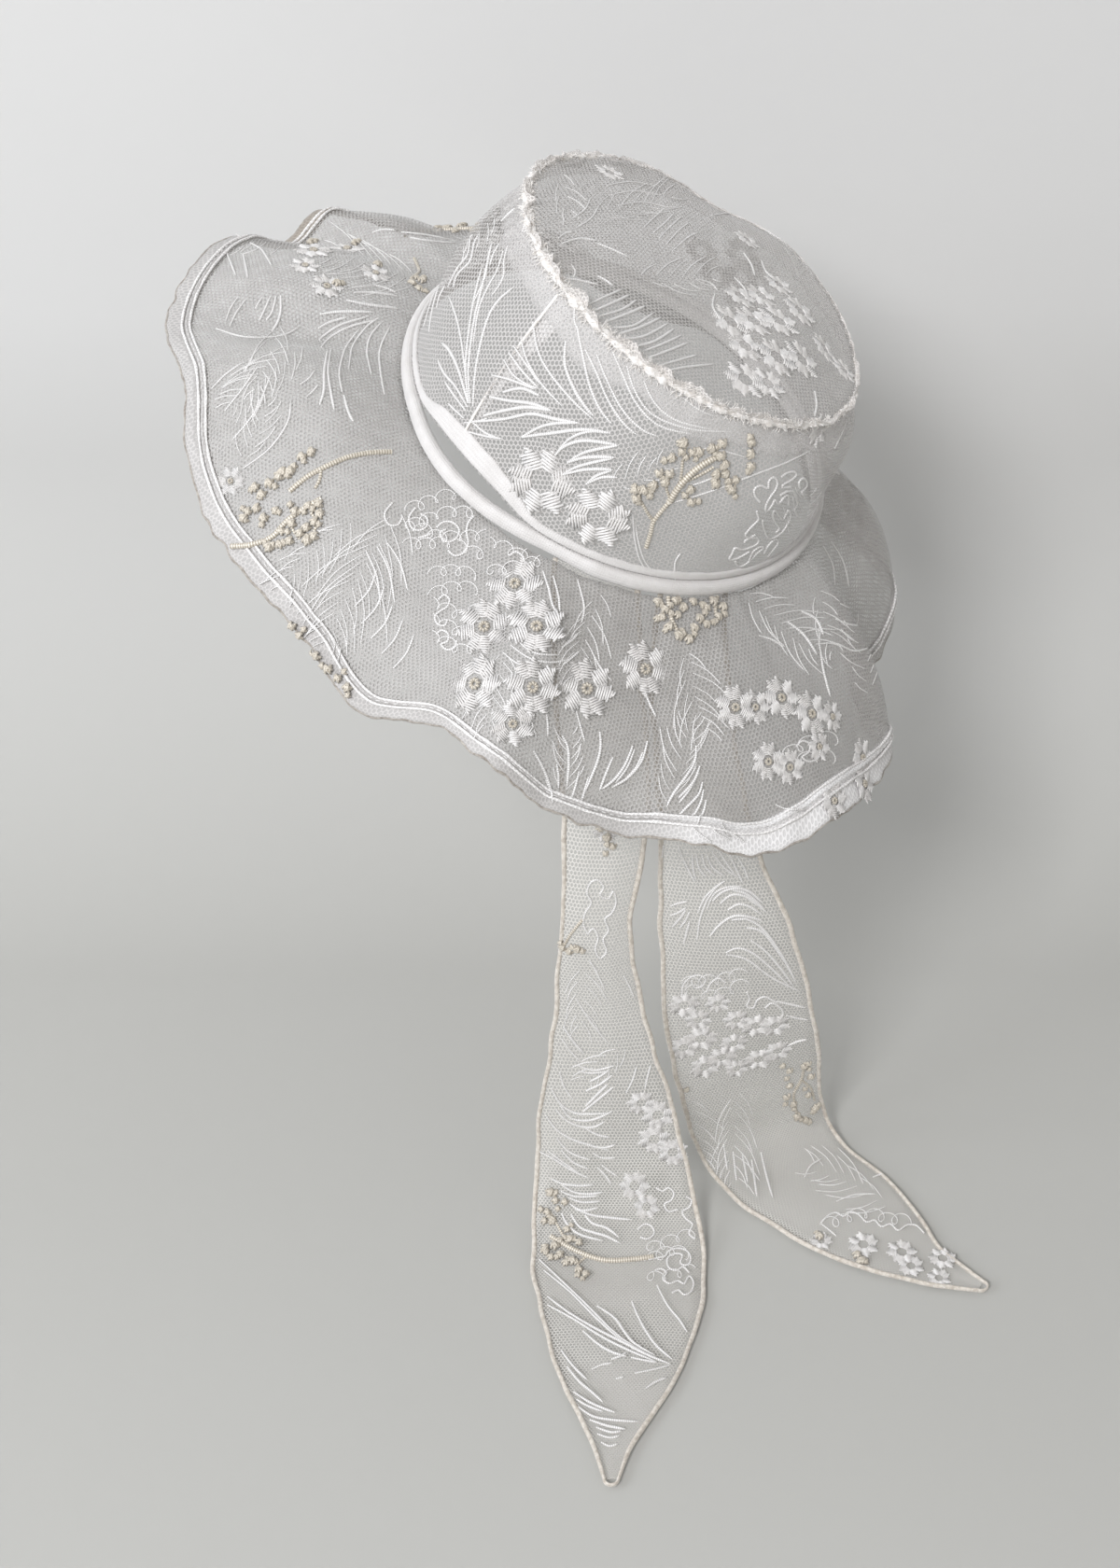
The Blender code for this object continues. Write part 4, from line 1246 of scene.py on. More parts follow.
NET = net_material("ivory_nylon_net_single", "#c8c4c1", "#b3afab", 1.9, 8.0, 0.80, 0.06)
NET_INNER = net_material("ivory_nylon_net_inner_face", "#bfbbb8", "#aca8a4", 1.9, 8.0, 0.12, 0.06)
NET_UPPER = net_material("ivory_nylon_net_upper_layer", "#bdbab7", "#a09c98", 1.9, 4.0, 0.84, 0.10)
NET_UNDER = net_material("ivory_nylon_net_under_layer", "#c2beba", "#aaa6a1", 1.9, 15.0, 0.78, 0.08)
NET_STREAMER = net_material("ivory_nylon_net_streamer", "#f3efe8", "#e4dfd7", 1.7, 30.0, 0.50, 0.06)
NET_ALLOWANCE = net_material("ivory_nylon_net_folded", "#fdfbf9", "#f0edea", 1.8, 40.0, 0.92, 0.62)
NET_MILKY = net_material("ivory_nylon_net_allowance", "#e9e6e4", "#d6d2cf", 1.7, 22.0, 0.36, 0.16)
NET_FRILL = net_material("ivory_nylon_net_raw_edge", "#f1eeeb", "#ddd6d0", 1.7, 22.0, 0.74, 0.24)
TAPE = cloth_material("white_cotton_tape_woven", "#dddad8", "#c4c0bc", 1.0, 0.3, 0.8, 0.4)
# The hem is net folded over itself four times: milky, with the cells of the outer layer just showing. Its
# deepest stretch, at the right of the back, is whitened with painted light, and the fold at the far left is
# darkened with painted shade.
HEM_PAINTED_LIGHT_STRETCH = (0.995, 0.10, "#fbf9f8")
# Painted shade: the fold at the far left of the hem is darkened to a brownish grey.
HEM_PAINTED_SHADE_STRETCH = (0.437, 0.06, "#a59b8f")
HEM = net_material("ivory_nylon_net_hem", "#d2cfcc", "#b7b3b0", 1.8, 12.0, 0.88, 0.66,
                   (HEM_PAINTED_LIGHT_STRETCH, HEM_PAINTED_SHADE_STRETCH))
SEAM = fluffy_material("cream_net_edge_overcast", "#fbf8f5", "#ddd6ce", 0.85)
EDGE = fluffy_material("grey_thread_edge_wound", "#b5aea5", "#857d74", 0.9)
ROLL = fluffy_material("cream_net_edge_rolled", "#ddd6cb", "#b9afa2", 0.9)
WHITE = thread_material("white_rayon_thread_satin", "#edebe9", "#bfbcb9", 0.34, 0.0, 0.9)
# Painted light and painted shade: all petals are one white thread, the lit petals get a lighter copy of it
# and those whose stitches turn away from the light a greyer copy.
PAINTED_LIGHT_ZIGZAG = thread_material("white_rayon_petal_thread_painted_light", "#f7f5f3", "#c4c0bc", 0.34, 0.0, 0.9)
PAINTED_SHADE_ZIGZAG = thread_material("white_rayon_petal_thread_painted_shade", "#e4e1de", "#c4c0bc", 0.4, 0.0, 0.9)
GOLD = thread_material("gold_metallic_thread_wound", "#e3dccf", "#9c9282", 0.4, 0.15, 1.1)


def place_on_body(piece, slot, *nodes, material=None):
    """Let a piece ride on the hat in place of its solids, and give it its material."""
    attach(piece, BODY)
    if nodes:
        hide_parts(*nodes)
    if material is not None:
        piece.data.materials.append(material)


# Net sheets


def build_sheets():
    """Sheets of net through their own points, each with its place on the flat cloth."""
    side = grid_piece("crown_side_net",
                      lambda u, v: crown_side_cloth(u * math.tau, v),
                      lambda u, v: (u * SIDE_FLAT_LONG, v * SIDE_FLAT_WIDE),
                      22, 288, True, False)
    tip = build_tip()
    brim = grid_piece("brim_net",
                      lambda u, v: brim_cloth(u * math.tau, v * BRIM_NET_END),
                      lambda u, v: oval(u * math.tau, *[BRIM_FLAT_INNER + v * BRIM_FLAT_WIDE] * 2).xy,
                      26, 384, True, True)
    sheets = {"side": side, "tip": tip, "brim": brim}
    for name, rows in STREAMERS.items():
        sheets[name] = grid_piece("streamer_" + name + "_net",
                                  lambda u, v, rows=rows: streamer_cloth(rows, v, 2.0 * u - 1.0),
                                  lambda u, v, rows=rows: ((u - 0.5) * streamer_station(rows, v)[2],
                                                           v * STREAMER_FLAT_LONG),
                                  120, 13, False, True)
    return sheets


def build_tip():
    """Oval tip as rings round a middle point, with its flat place straight from above."""
    columns, rings = 144, 18
    points = [crown_tip_cloth(0.0, 0.0)]
    flat_points = [(0.0, 0.0)]
    for ring in range(1, rings + 1):
        for column in range(columns):
            angle = column / columns * math.tau
            share = ring / rings
            points.append(crown_tip_cloth(angle, share))
            flat_points.append((TIP_HALF_X * share * math.cos(angle), TIP_HALF_Y * share * math.sin(angle)))
    faces = []
    for column in range(columns):
        nxt = (column + 1) % columns
        faces.append([0, 1 + column, 1 + nxt])
        for ring in range(rings - 1):
            low = 1 + ring * columns
            high = low + columns
            faces.append([low + column, high + column, high + nxt, low + nxt])
    flats = [flat_points[corner] for face in faces for corner in face]
    return new_piece("crown_tip_net", mesh_from("crown_tip_net", points, faces, flats))


def finish_sheets(sheets):
    """Give each sheet its wall, with its own net on the outer and on the inner face."""
    for name, node, thickness, outer, inner in (
            ("side", "crown_side", NET_WALL, NET, NET_INNER),
            ("tip", "crown_tip", NET_WALL, NET, NET_INNER),
            ("brim", "brim", DOUBLE_NET_WALL, NET_UPPER, NET_UNDER),
            ("left", "streamer_left", NET_WALL, NET_STREAMER, NET_INNER),
            ("right", "streamer_right", NET_WALL, NET_STREAMER, NET_INNER)):
        place_on_body(sheets[name], "net", node, material=outer)
        sheets[name].data.materials.append(inner)
        wall(sheets[name], thickness).material_offset = 1


# Bands, seams and hem


def build_bands():
    """Rolled tube round the head opening, and the tape on the crown's edge that stands wide at the slit."""
    steps = 360

    def band_frame(angle):
        middle, out = band_middle(angle)
        return worn(middle), worn(out), worn(UP)

    def band_section(angle):
        pucker = 1.0 + 0.035 * ripple(angle, 0.0, 26.0, 4.4) + 0.03 * ripple(angle, 0.0, 9.0, 1.9)
        flat = round_section(0.8 * BAND_WIDE, 0.94 * BAND_TALL, 18, 0.75)
        return [(a * pucker, b * pucker) for a, b in flat]

    band = ring_bar("head_band_tube", band_frame, band_section, steps, BAND_LONG)
    place_on_body(band, "binding", "head_band", material=TAPE)

    def slit_share(angle):
        lift = round_table(BAND_COLUMNS, BAND_ROWS, angle)["lift"]
        return min(max(lift / 5.0, 0.0), 1.0)

    def binding_frame(angle):
        foot = crown_side_point(angle, 0.0, 0.7 * MM)
        up = (crown_side_point(angle, 0.14, 0.7 * MM) - foot).normalized()
        return worn(foot - UP * BINDING_TALL), worn(binding_middle(angle)[1]), worn(up)

    def binding_section(angle):
        tall = (3.4 + 5.6 * slit_share(angle) + 0.5 * ripple(angle, 0.0, 14.0, 2.0)) * MM
        return [(a, b + 0.5 * tall) for a, b in round_section(1.6 * MM, tall, 14, 0.6)]

    binding = ring_bar("crown_binding_tape", binding_frame, binding_section, steps, BAND_LONG)
    place_on_body(binding, "binding", "crown_binding", material=TAPE)


def seam_fullness(angle):
    """How full the roll is: it frays at the back and left, and lies flat at the front and right."""
    return 0.63 + 0.5 * math.cos(angle - math.radians(235.0))


def build_tip_seam():
    def seam_frame(angle):
        out = oval_out(angle, TIP_HALF_X, TIP_HALF_Y)
        return worn(tip_seam_middle(angle)), worn(out), worn(UP)

    def seam_section(angle):
        lump = 0.95 + 0.5 * ripple(angle, 0.0, 26.0, 9.3) + 0.3 * ripple(angle, 0.0, 8.0, 3.3)
        lump *= seam_fullness(angle)
        twist = 1.2 * ripple(angle, 0.0, 18.0, 5.9) * MM
        return [(a * lump + twist, b * lump) for a, b in round_section(0.9 * SEAM_WIDE, 0.8 * SEAM_TALL, 12)]

    seam = ring_bar("tip_seam_roll", seam_frame, seam_section, 480, TIP_SEAM_LONG)
    place_on_body(seam, "seam", "tip_seam", material=SEAM)


def build_side_seam():
    frames = []
    steps = 60
    for step in range(steps + 1):
        share = 0.02 + 0.96 * step / steps
        angle = SIDE_SEAM_ANGLE + SIDE_SEAM_TWIST * share
        middle = crown_side_point(angle, share, 0.5 * MM)
        ahead = crown_side_point(angle + 0.02, share, 0.5 * MM)
        above = crown_side_point(angle, share + 0.02, 0.5 * MM)
        along = (ahead - middle).normalized()
        face = along.cross(above - middle).normalized()
        frames.append((worn(middle), worn(along), worn(face)))
    seam = long_bar("side_seam_ridge", frames, lambda share: round_section(1.3 * MM, 0.9 * MM, 8),
                    SIDE_SEAM_LONG)
    place_on_body(seam, "seam", "side_seam", material=SEAM)


def build_allowances():
    """Net turned back at the tip seam and the side seam, and the raw edge that stands out of the tip seam."""

    def under_tip(u, v):
        angle = u * math.tau
        deep = 0.17 + 0.09 * ripple(angle, 0.0, 3.0, 1.1) + 0.03 * ripple(angle, 0.0, 30.0, 4.1)
        spot = crown_side_cloth(angle, (1.02 - v * deep - SIDE_FOOT) / SIDE_SPAN)
        return spot + worn(oval_out(angle, TIP_HALF_X, TIP_HALF_Y)) * (0.5 * MM)

    tip = grid_piece("tip_allowance", under_tip,
                     lambda u, v: (u * TIP_SEAM_LONG, v * 0.012), 5, 480, True, True)

    def frill_spot(u, v):
        angle = u * math.tau
        out = oval_out(angle, TIP_HALF_X, TIP_HALF_Y)
        lean = 0.4 + 1.6 * ripple(angle, 0.0, 11.0, 8.8)
        high = seam_fullness(angle) * (4.4 + 2.6 * ripple(angle, 0.0, 24.0, 6.6)) * MM
        return worn(tip_seam_middle(angle) + (out * math.sin(lean) + UP * math.cos(lean)) * (v * high))

    frill = grid_piece("tip_seam_frill", frill_spot,
                       lambda u, v: (u * TIP_SEAM_LONG, v * 0.006), 4, 960, True, True)

    def beside_seam(u, v):
        share = 0.03 + 0.95 * v
        width = math.radians(0.6 + 6.2 * share ** 1.5)
        angle = SIDE_SEAM_ANGLE + SIDE_SEAM_TWIST * share + u * width
        return worn(crown_side_point(angle, share, -1.5 * MM))

    side = grid_piece("side_allowance", beside_seam,
                      lambda u, v: (u * 0.01, v * SIDE_SEAM_LONG), 24, 6, False, False)
    for piece, thickness, net in ((tip, 0.3, NET_MILKY), (side, 0.6, NET_ALLOWANCE), (frill, 0.3, NET_FRILL)):
        wall(piece, thickness * MM)
        place_on_body(piece, "net", material=net)
    return tip, side, frill


def hem_share(angle):
    """Share of the brim's width at which the hem begins."""
    fold = brim_table(angle)
    return 1.0 - HEM_DEEP / (math.hypot(fold["reach"], fold["rise"]) * MM)


def hem_frame(angle):
    """Brim's edge, the direction along the brim to it and the direction of the upper face."""
    start = brim_cloth(angle, hem_share(angle))
    end = brim_cloth(angle, 1.0)
    step = 0.01
    along_turn = (brim_cloth(angle + step, 1.0) - brim_cloth(angle - step, 1.0)).normalized()
    across = (end - start).normalized()
    face = across.cross(along_turn).normalized()
    if face.dot(worn(UP)) < 0.0:
        face = -face
    return end, across, face


def hem_breadth(angle):
    """Share of the hem's full depth: deepest at the right of the back, and least in its middle."""
    deep = math.exp(-((math.degrees(angle) - 312.0) / 16.0) ** 2)
    shallow = math.exp(-((math.degrees(angle) - 262.0) / 24.0) ** 2)
    return 0.9 + 0.45 * deep - 0.3 * shallow


def hem_crinkle(angle):
    """How far the sewn edge of the hem wanders in and out, in millimetres."""
    return 1.8 * ripple(angle, 0.0, 24.0, 7.0)


def build_hem():
    """Folded hem: an outer roll, a flat fold and a stitched cord ridge at its inner edge."""
    outline = ((-11.0, 0.2), (-10.8, 1.0), (-10.3, 2.0), (-9.5, 2.5), (-8.7, 2.0), (-8.2, 1.1), (-7.0, 0.9),
               (-4.5, 1.0), (-1.9, 1.2), (-0.7, 1.2), (0.4, 0.7), (0.7, 0.0), (0.4, -0.7), (-0.7, -1.2),
               (-2.2, -1.1), (-5.5, -0.9), (-9.5, -0.9), (-11.4, -0.6))

    def section(angle):
        swell = 0.8 + 0.25 * ripple(angle, 0.0, 12.0, 4.0)
        broad = hem_breadth(angle) + 0.05 * ripple(angle, 0.0, 9.0, 6.0)
        crinkle = hem_crinkle(angle)
        return [((a * broad + crinkle * (1.0 + a / 12.0)) * MM, b * swell * MM) for a, b in outline]

    hem = ring_bar("brim_hem_fold", hem_frame, section, 576, HEM_LONG, 0.026)
    place_on_body(hem, "net", "brim_hem", material=HEM)
    return hem


def build_hem_cords():
    """Two thin raised lines where the turned hem is sewn down, and the thread wound over its edge."""
    rows = ((7.2, 1.5, 1.2, NET_ALLOWANCE), (10.9, 1.4, 1.2, NET_ALLOWANCE), (-0.6, 0.2, 1.3, EDGE))
    for number, (inset, rise, thick, material) in enumerate(rows, start=1):
        def section(angle, inset=inset, rise=rise, thick=thick):
            off = -inset * hem_breadth(angle)
            lump = thick * (1.0 + 0.5 * ripple(angle, 0.0, 40.0, 3.0)) * MM
            if inset < 0.0:
                off += hem_crinkle(angle)
            return [(a + off * MM, b + rise * MM) for a, b in round_section(lump, lump, 6)]

        cord = ring_bar("hem_cord_" + str(number), hem_frame, section, 720, HEM_CORD_LONG, 0.003)
        place_on_body(cord, "net", material=material)


def build_streamer_edges():
    edges = {}
    for name, rows in STREAMERS.items():
        path = streamer_edge_path(rows)
        frames = []
        for index, (spot, face) in enumerate(path):
            behind = path[max(index - 1, 0)][0]
            ahead = path[min(index + 1, len(path) - 1)][0]
            along = (ahead - behind).normalized()
            wobble = noise.noise(spot * 60.0) * 1.3 * MM
            side = along.cross(face).normalized()
            spot = spot + side * wobble
            spot.z = max(spot.z, FLOOR_Z + 0.5 * STREAMER_ROLL)
            frames.append((spot, side, face))
        rng = random.Random(len(rows[0]) + int(rows[0][0]))
        phases = [rng.uniform(0.86, 1.1) for step in range(41)]

        def section(share, phases=phases):
            place = share * 40.0
            here = min(int(place), 39)
            swell = phases[here] + (phases[here + 1] - phases[here]) * (place - here)
            swell *= 1.0 - 0.45 * math.exp(-((share - 0.5) / 0.03) ** 2)
            thick = 0.66 * STREAMER_ROLL
            return [(a * swell, b) for a, b in round_section(thick, thick, 10)]

        edge = long_bar("streamer_" + name + "_roll", frames, section, STREAMER_ROLL_LONG)
        place_on_body(edge, "seam", "streamer_" + name + "_edge", material=ROLL)
        edges[name] = edge
    return edges


# Embroidery


def fern(cloth, threads, spot, turn, size, seed):
    """Fan of satin strokes on both sides of an unseen stem, in pairs that meet in sharp points."""
    rng = random.Random(seed)
    pairs = int(size / 6.0)
    bend = rng.uniform(-0.15, 0.15)
    for index in range(pairs):
        share = index / (pairs - 1)
        base_x = size * share * 0.8
        base_y = bend * size * share * share
        reach = size * 0.46 * math.sin(math.pi * (0.2 + 0.75 * share)) * rng.uniform(0.85, 1.1)
        for side in (-1.0, 1.0):
            lean = math.radians(rng.uniform(38.0, 50.0) * (1.0 - 0.35 * share))
            tip_x = base_x + reach * math.cos(lean)
            tip_y = base_y + side * reach * math.sin(lean)
            mid_x = base_x + 0.55 * reach * math.cos(lean * 0.6)
            mid_y = base_y + side * 0.45 * reach * math.sin(lean)
            path = smooth_path([(base_x, base_y), (mid_x, mid_y), (tip_x, tip_y)], 8)
            threads.satin(laid(cloth, spot, turn, path), rng.uniform(1.1, 1.6))
            if rng.random() < 0.6:
                back = smooth_path([(base_x + 2.6, base_y), (mid_x + 1.9, mid_y), (tip_x, tip_y)], 8)
                threads.satin(laid(cloth, spot, turn, back), 0.9)


def picture_fern(cloth, threads, x, y, turn, size, seed):
    """Fern of fine strokes laid through the picture, on both sides of an unseen stem."""
    rng = random.Random(seed)
    along = Vector((math.cos(math.radians(turn)), math.sin(math.radians(turn))))
    across = Vector((-along.y, along.x))
    foot = Vector((x, y))
    pairs = max(4, int(size / 13.0))
    for index in range(2 * pairs):
        side = 1.0 if index % 2 else -1.0
        share = (index + rng.uniform(-0.4, 0.4)) / (2.0 * pairs)
        stem = foot + along * (0.85 * size * share) + across * (0.1 * size * math.sin(2.2 * share))
        base = stem + across * (side * rng.uniform(2.0, 5.0))
        reach = size * 0.42 * math.sin(math.pi * (0.3 + 0.6 * share)) * rng.uniform(0.6, 1.15)
        lean = math.radians(rng.uniform(20.0, 38.0))
        tip = base + along * (reach * math.cos(lean)) + across * (side * reach * math.sin(lean))
        bend = base.lerp(tip, 0.45) + across * (side * 0.09 * reach)
        threads.satin(cloth.path([tuple(base), tuple(bend), tuple(tip)], 9), rng.uniform(0.4, 0.65))


def loop_cloud(cloth, threads, x, y, wide, tall, strands, seed):
    """Fine cord that runs through the picture in uneven loops, strand below strand."""
    rng = random.Random(seed)
    for strand in range(strands):
        middle = y + tall * ((strand + 0.5) / strands - 0.5)
        loops = max(3, int(wide / 15.0))
        phase = rng.uniform(0.0, 6.28)
        path = []
        count = 22 * loops
        for step in range(count):
            share = step / (count - 1)
            angle = share * loops * 2.0 * math.pi + phase
            radius = (0.75 + 0.25 * math.sin(0.7 * angle + phase)) * min(7.5, 0.45 * tall / strands + 2.5)
            path.append((x + wide * (share - 0.5) + radius * math.cos(angle),
                         middle + 6.0 * math.sin(4.0 * share + phase) + radius * math.sin(angle)))
        threads.even([cloth.seen(*p) for p in path], 0.5)


def scroll(cloth, threads, spot, turn, size, seed):
    """Thin cord that wanders in small loops."""
    rng = random.Random(seed)
    for strand in range(3):
        loops = 5
        phase = rng.uniform(0.0, 6.28)
        path = []
        for step in range(60):
            share = step / 59.0
            angle = share * loops * 2.0 * math.pi + phase
            radius = size * 0.09 * (1.0 + 0.3 * math.sin(3.1 * share * math.pi + phase))
            path.append(((share - 0.5) * size + radius * math.cos(angle),
                         (strand - 1) * size * 0.22 + size * 0.08 * math.sin(5.0 * share + phase)
                         + radius * math.sin(angle)))
        threads.even(laid(cloth, spot, turn, path), 0.8)


def flower_place(spot, size, turn):
    x, y = local_frame(spot, turn)
    return spot[0], basis(x, y, spot[1]), Vector((size * MM,) * 3)


def cluster(cloth, flowers, spot, turn, size, seed):
    """Five or six star flowers close together."""
    rng = random.Random(seed)
    for index in range(6):
        angle = index * 2.4
        reach = size * 0.22 * math.sqrt(index + 0.3)
        place = laid(cloth, spot, turn, [(reach * math.cos(angle), reach * math.sin(angle))])[0]
        flowers.append(flower_place(place, rng.uniform(14.0, 19.0), rng.uniform(0.0, 90.0)))


def sprig(cloth, stems, berries, spot, turn, size, seed):
    """Forked stem of wound thread with berries at its ends."""
    rng = random.Random(seed)
    path = smooth_path([(-0.5 * size, 0.0), (-0.1 * size, 0.06 * size), (0.45 * size, 0.2 * size)], 14)
    stems.even(laid(cloth, spot, turn, path), 2.0)
    for index in range(9):
        share = 0.3 + 0.075 * index
        base = path[min(int(share * 13), 13)]
        side = 1.0 if index % 2 else -1.0
        reach = rng.uniform(0.14, 0.26) * size
        lean = math.radians(rng.uniform(35.0, 60.0)) * side
        tip = (base[0] + reach * math.cos(lean), base[1] + reach * math.sin(lean))
        stems.even(laid(cloth, spot, turn, smooth_path([base, tip], 5)), 1.0)
        for extra in range(2):
            at = (tip[0] + rng.uniform(-2.0, 2.0), tip[1] + rng.uniform(-2.0, 2.0))
            place = laid(cloth, spot, turn, [at])[0]
            berries.append(flower_place(place, rng.uniform(4.2, 5.2), rng.uniform(0.0, 90.0)))


def spot_on(name, cloths, angle, share):
    """Spot on a cloth from its angle in degrees and its share across."""
    turn = math.radians(angle)
    places = {"side": crown_side_cloth, "tip": crown_tip_cloth, "brim": brim_cloth}
    return cloths[name].near(places[name](turn, share))


def build_embroidery(sheets, hem):
    """Lay what is traced along the camera's rays, and the hidden motifs by their place on the cloth."""
    lifts = {"side": 0.5, "tip": 0.5, "brim": 0.8, "left": 0.5, "right": 0.5}
    carriers = {name: [piece] for name, piece in sheets.items()}
    carriers["brim"].append(hem)
    cloths = {name: Cloth(pieces, lifts[name] * MM) for name, pieces in carriers.items()}
    ferns, faint, scrolls, stems = Threads(), Threads(), Threads(), Threads()
    flowers, berries, hearts = [], [], []
    for name, text in STROKES.items():
        for thick, *path in traced(text):
            ferns.satin(cloths[name].path(path, 12), SATIN_SCALE[name] * thick)
    for name, text in SCROLLS.items():
        for path in traced(text):
            scrolls.even(cloths[name].path(path, 3 * len(path)), 0.9)
    for seed, (name, (x, y), turn, size) in enumerate(traced(FAINT_FERNS), start=300):
        picture_fern(cloths[name], faint, x, y, turn, size, seed)
    for seed, (name, (x, y), wide, tall, strands) in enumerate(traced(LOOP_CLOUDS), start=400):
        loop_cloud(cloths[name], scrolls, x, y, wide, tall, int(strands), seed)
    for name, text in STEMS.items():
        for thick, *path in traced(text):
            stems.even(cloths[name].path(path, 16), thick)
    for name, text in FLOWERS.items():
        for point, size, turn in traced(text):
            spot = cloths[name].seen(*point)
            if spot is not None:
                flowers.append(flower_place(spot, 1.12 * size, turn))
                if name == "brim":
                    hearts.append(flower_place(spot, 0.24 * size, turn))
    rng = random.Random(5)
    for name, text in BERRIES.items():
        for x, y in traced(text)[0]:
            beside = (x + rng.uniform(-8.0, 8.0), y + rng.uniform(-8.0, 8.0))
            for spot, size in ((cloths[name].seen(x, y), 4.8), (cloths[name].seen(*beside), 3.6)):
                if spot is not None:
                    berries.append(flower_place(spot, size * rng.uniform(0.9, 1.12), rng.uniform(0.0, 90.0)))
    for seed, (name, kind, angle, share, turn, size) in enumerate(traced(HIDDEN_MOTIFS), start=40):
        spot = spot_on(name, cloths, angle, share)
        cloth = cloths[name]
        if kind == "fern":
            fern(cloth, ferns, spot, turn, size, seed)
        elif kind == "scroll":
            scroll(cloth, scrolls, spot, turn, size, seed)
        elif kind == "cluster":
            cluster(cloth, flowers, spot, turn, size, seed)
        else:
            sprig(cloth, stems, berries, spot, turn, size, seed)

    cord_tree = curve_tree("embroidered_cord", 6)
    motif_tree = scatter_tree("embroidered_motif")
    for name, threads, material, slot in (
            ("embroidery_ferns", ferns, WHITE, "white_thread"),
            ("embroidery_faint_ferns", faint, WHITE, "white_thread"),
            ("embroidery_scrolls", scrolls, WHITE, "white_thread"),
            ("embroidery_stems", stems, GOLD, "gold_thread")):
        place_on_body(cords(cord_tree, name, threads, material), slot)
    # Painted light and painted shade: petals in the first four directions get the lighter copy of the thread,
    # those in the other four the greyer copy.
    bright = flower_shape("bright_petals", (65.0, 115.0, 245.0, 295.0), 0.045)
    painted_shade_petal_shape = flower_shape("grey_petals", (15.0, 165.0, 195.0, 345.0), 0.03)
    for name, places, shape, material, slot in (
            ("flower_petals_white", flowers, bright, PAINTED_LIGHT_ZIGZAG, "white_thread"),
            ("flower_petals_grey", flowers, painted_shade_petal_shape, PAINTED_SHADE_ZIGZAG, "white_thread"),
            ("flower_hearts", hearts, knot_shape("knot"), GOLD, "gold_thread"),
            ("sprig_berries", berries, berry_shape("berry"), GOLD, "gold_thread")):
        place_on_body(scattered(motif_tree, name, places, shape, material), slot)
        bpy.data.objects.remove(shape)
    return motif_tree


def build_stitches(motif_tree):
    """Two rows of short stitches along the hem, and loose fibres on the tip seam."""
    stitch = stitch_shape("stitch")
    rows = []
    count = 300
    for step in range(count):
        angle = math.tau * (step + 0.5) / count
        end, across, face = hem_frame(angle)
        ahead = hem_frame(angle + 0.01)[0]
        along = (ahead - end).normalized()
        for inset, height in ((6.6, 0.9), (9.3, 2.1)):
            spot = end - across * (inset * hem_breadth(angle) * MM) + face * (height * MM)
            rows.append((spot, basis(along, face.cross(along).normalized(), face),
                         Vector((1.9 * MM, 0.45 * MM, 0.4 * MM))))
    hem = scattered(motif_tree, "hem_stitches", rows, stitch, WHITE)
    rng = random.Random(17)
    fibres = []
    for index in range(1700):
        angle = math.radians(228.0) + rng.triangular(-math.pi, math.pi, 0.0)
        out = oval_out(angle, TIP_HALF_X, TIP_HALF_Y)
        turn = rng.uniform(0.0, math.tau)
        away = out * math.cos(turn) + UP * math.sin(turn)
        spot = tip_seam_middle(angle) + away * (1.9 * seam_fullness(angle) * MM)
        lean = (away + Vector((rng.uniform(-1, 1), rng.uniform(-1, 1), rng.uniform(-1, 1)))).normalized()
        side = lean.cross(UP).normalized()
        size = Vector((rng.uniform(1.8, 5.4) * seam_fullness(angle) * MM, 0.3 * MM, 0.3 * MM))
        fibres.append((worn(spot), basis(worn(lean), worn(side), worn(lean.cross(side))), size))
    fray = scattered(motif_tree, "tip_seam_fibres", fibres, stitch, SEAM)
    bpy.data.objects.remove(stitch)
    place_on_body(hem, "white_thread")
    place_on_body(fray, "seam")


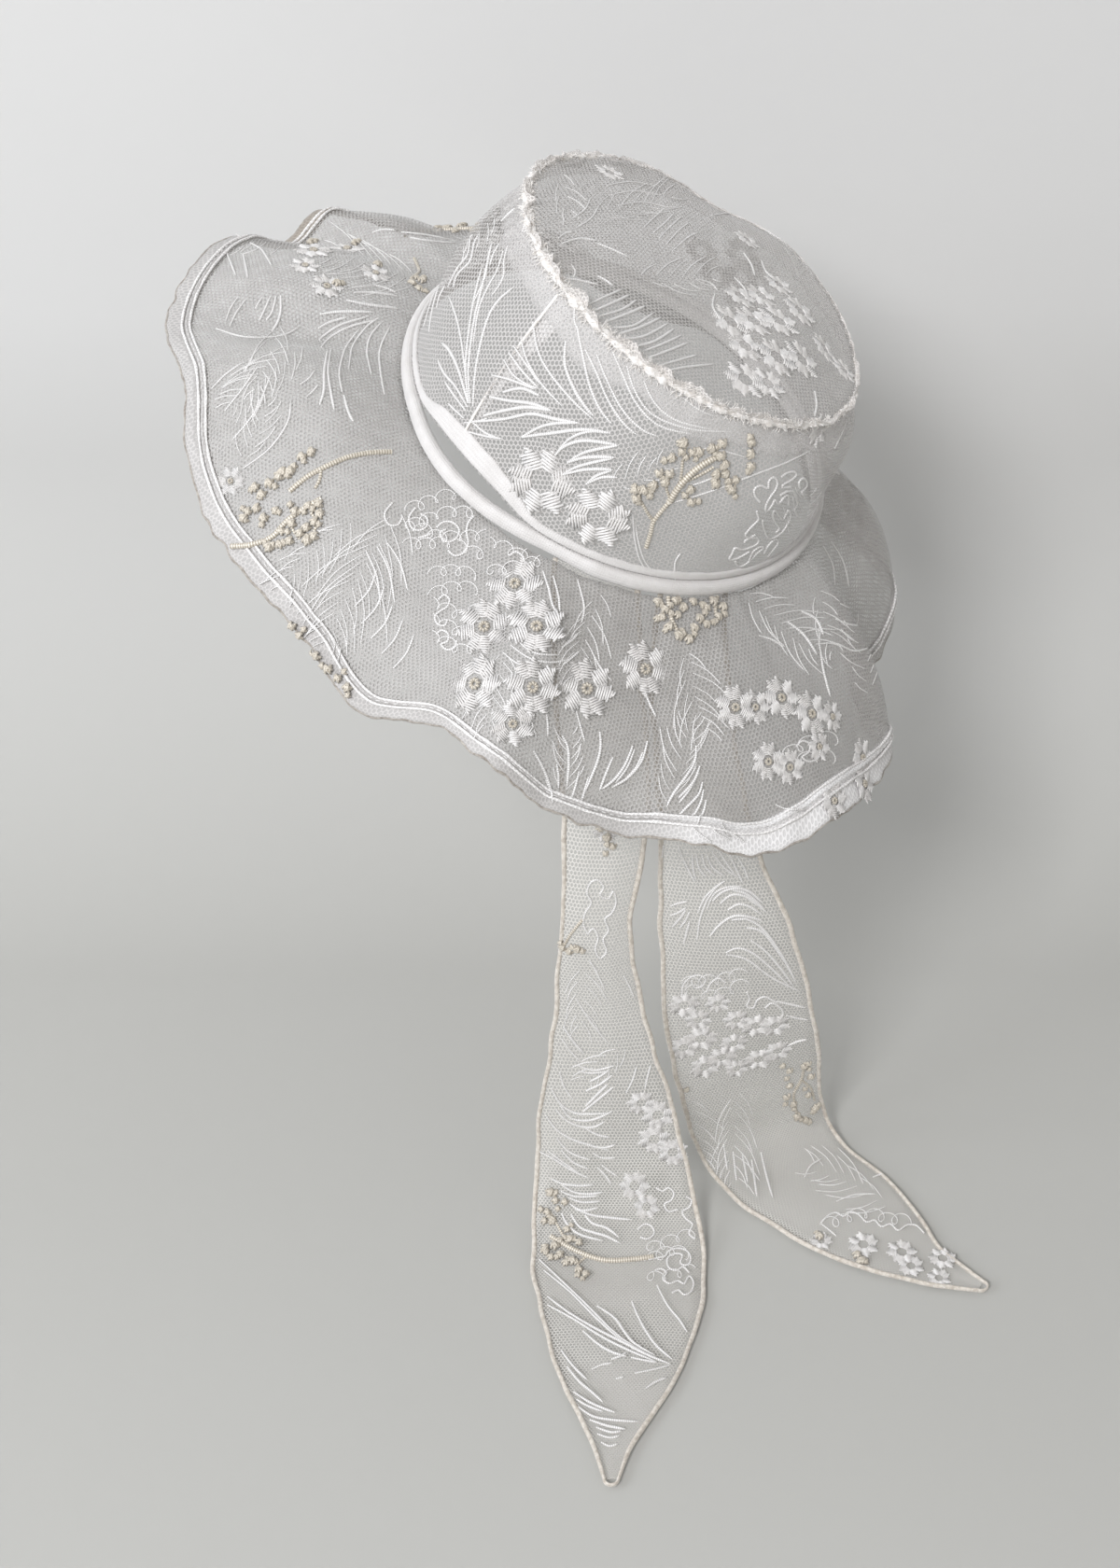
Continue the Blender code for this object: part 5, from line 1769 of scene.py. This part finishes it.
def build_stage():
    """Seamless paper: a level floor that curves up into a wall behind the hat."""
    start, radius, high, wide = 0.045, 0.20, 1.8, 2.8
    floor = FLOOR_Z - 0.4 * MM
    profile = [(-3.0, floor), (-1.0, floor), (start, floor)]
    for step in range(1, 25):
        angle = 0.5 * math.pi * step / 24
        profile.append((start + radius * math.sin(angle), floor + radius * (1.0 - math.cos(angle))))
    profile.append((start + radius, high))
    points = [Vector((x, y, z)) for y, z in profile for x in (-wide, wide)]
    faces = [[2 * i, 2 * i + 1, 2 * i + 3, 2 * i + 2] for i in range(len(profile) - 1)]
    mesh = mesh_from("backdrop_paper", points, faces)
    piece = new_piece("backdrop_paper", mesh)
    mesh.materials.append(paper_material("warm_grey_backdrop_paper", "#aeada8", "#cbcac8"))


def add_light(name, at, toward, size, power, colour):
    data = bpy.data.lights.new(name, "AREA")
    data.shape = "SQUARE"
    data.size = size
    data.energy = power
    data.color = srgb(colour)[:3]
    lamp = new_piece(name, data)
    lamp.location = at
    lamp.rotation_euler = (Vector(toward) - Vector(at)).to_track_quat("-Z", "Y").to_euler()


def build_light():
    """Soft studio light, most of it from the front and a little from the left and the right."""
    world = bpy.data.worlds.new("studio")
    bpy.context.scene.world = world
    world.use_nodes = True
    back = world.node_tree.nodes["Background"]
    back.inputs["Color"].default_value = srgb("#f3f5f8")
    back.inputs["Strength"].default_value = 0.45
    add_light("window_front", (-0.85, -2.0, 1.6), (0.0, 0.1, 0.0), 0.7, 60.0, "#fbfcff")
    add_light("window_left", (-2.0, -0.9, 0.9), (-0.1, 0.1, 0.0), 1.2, 22.0, "#f2f7ff")
    add_light("fill_right", (1.6, -1.4, 0.6), (0.0, 0.0, -0.1), 1.6, 3.0, "#fff3e4")


def build_camera():
    data = bpy.data.cameras.new("camera")
    data.sensor_fit = "VERTICAL"
    data.sensor_width = SENSOR
    data.sensor_height = SENSOR
    data.lens = FOCAL_PIXELS / PICTURE_TALL * SENSOR
    data.clip_start = 0.01
    camera = new_piece("camera", data)
    camera.location = CAMERA_AT
    camera.rotation_euler = CAMERA_TURN
    bpy.context.scene.camera = camera


def main():
    scene = bpy.context.scene
    scene.view_settings.view_transform = "Standard"
    scene.cycles.transparent_max_bounces = 24
    build_camera()
    sheets = build_sheets()
    hem = build_hem()
    motif_tree = build_embroidery(sheets, hem)
    finish_sheets(sheets)
    build_bands()
    build_tip_seam()
    build_side_seam()
    allowances = build_allowances()
    build_hem_cords()
    edges = build_streamer_edges()
    build_stitches(motif_tree)
    build_stage()
    build_light()


main()
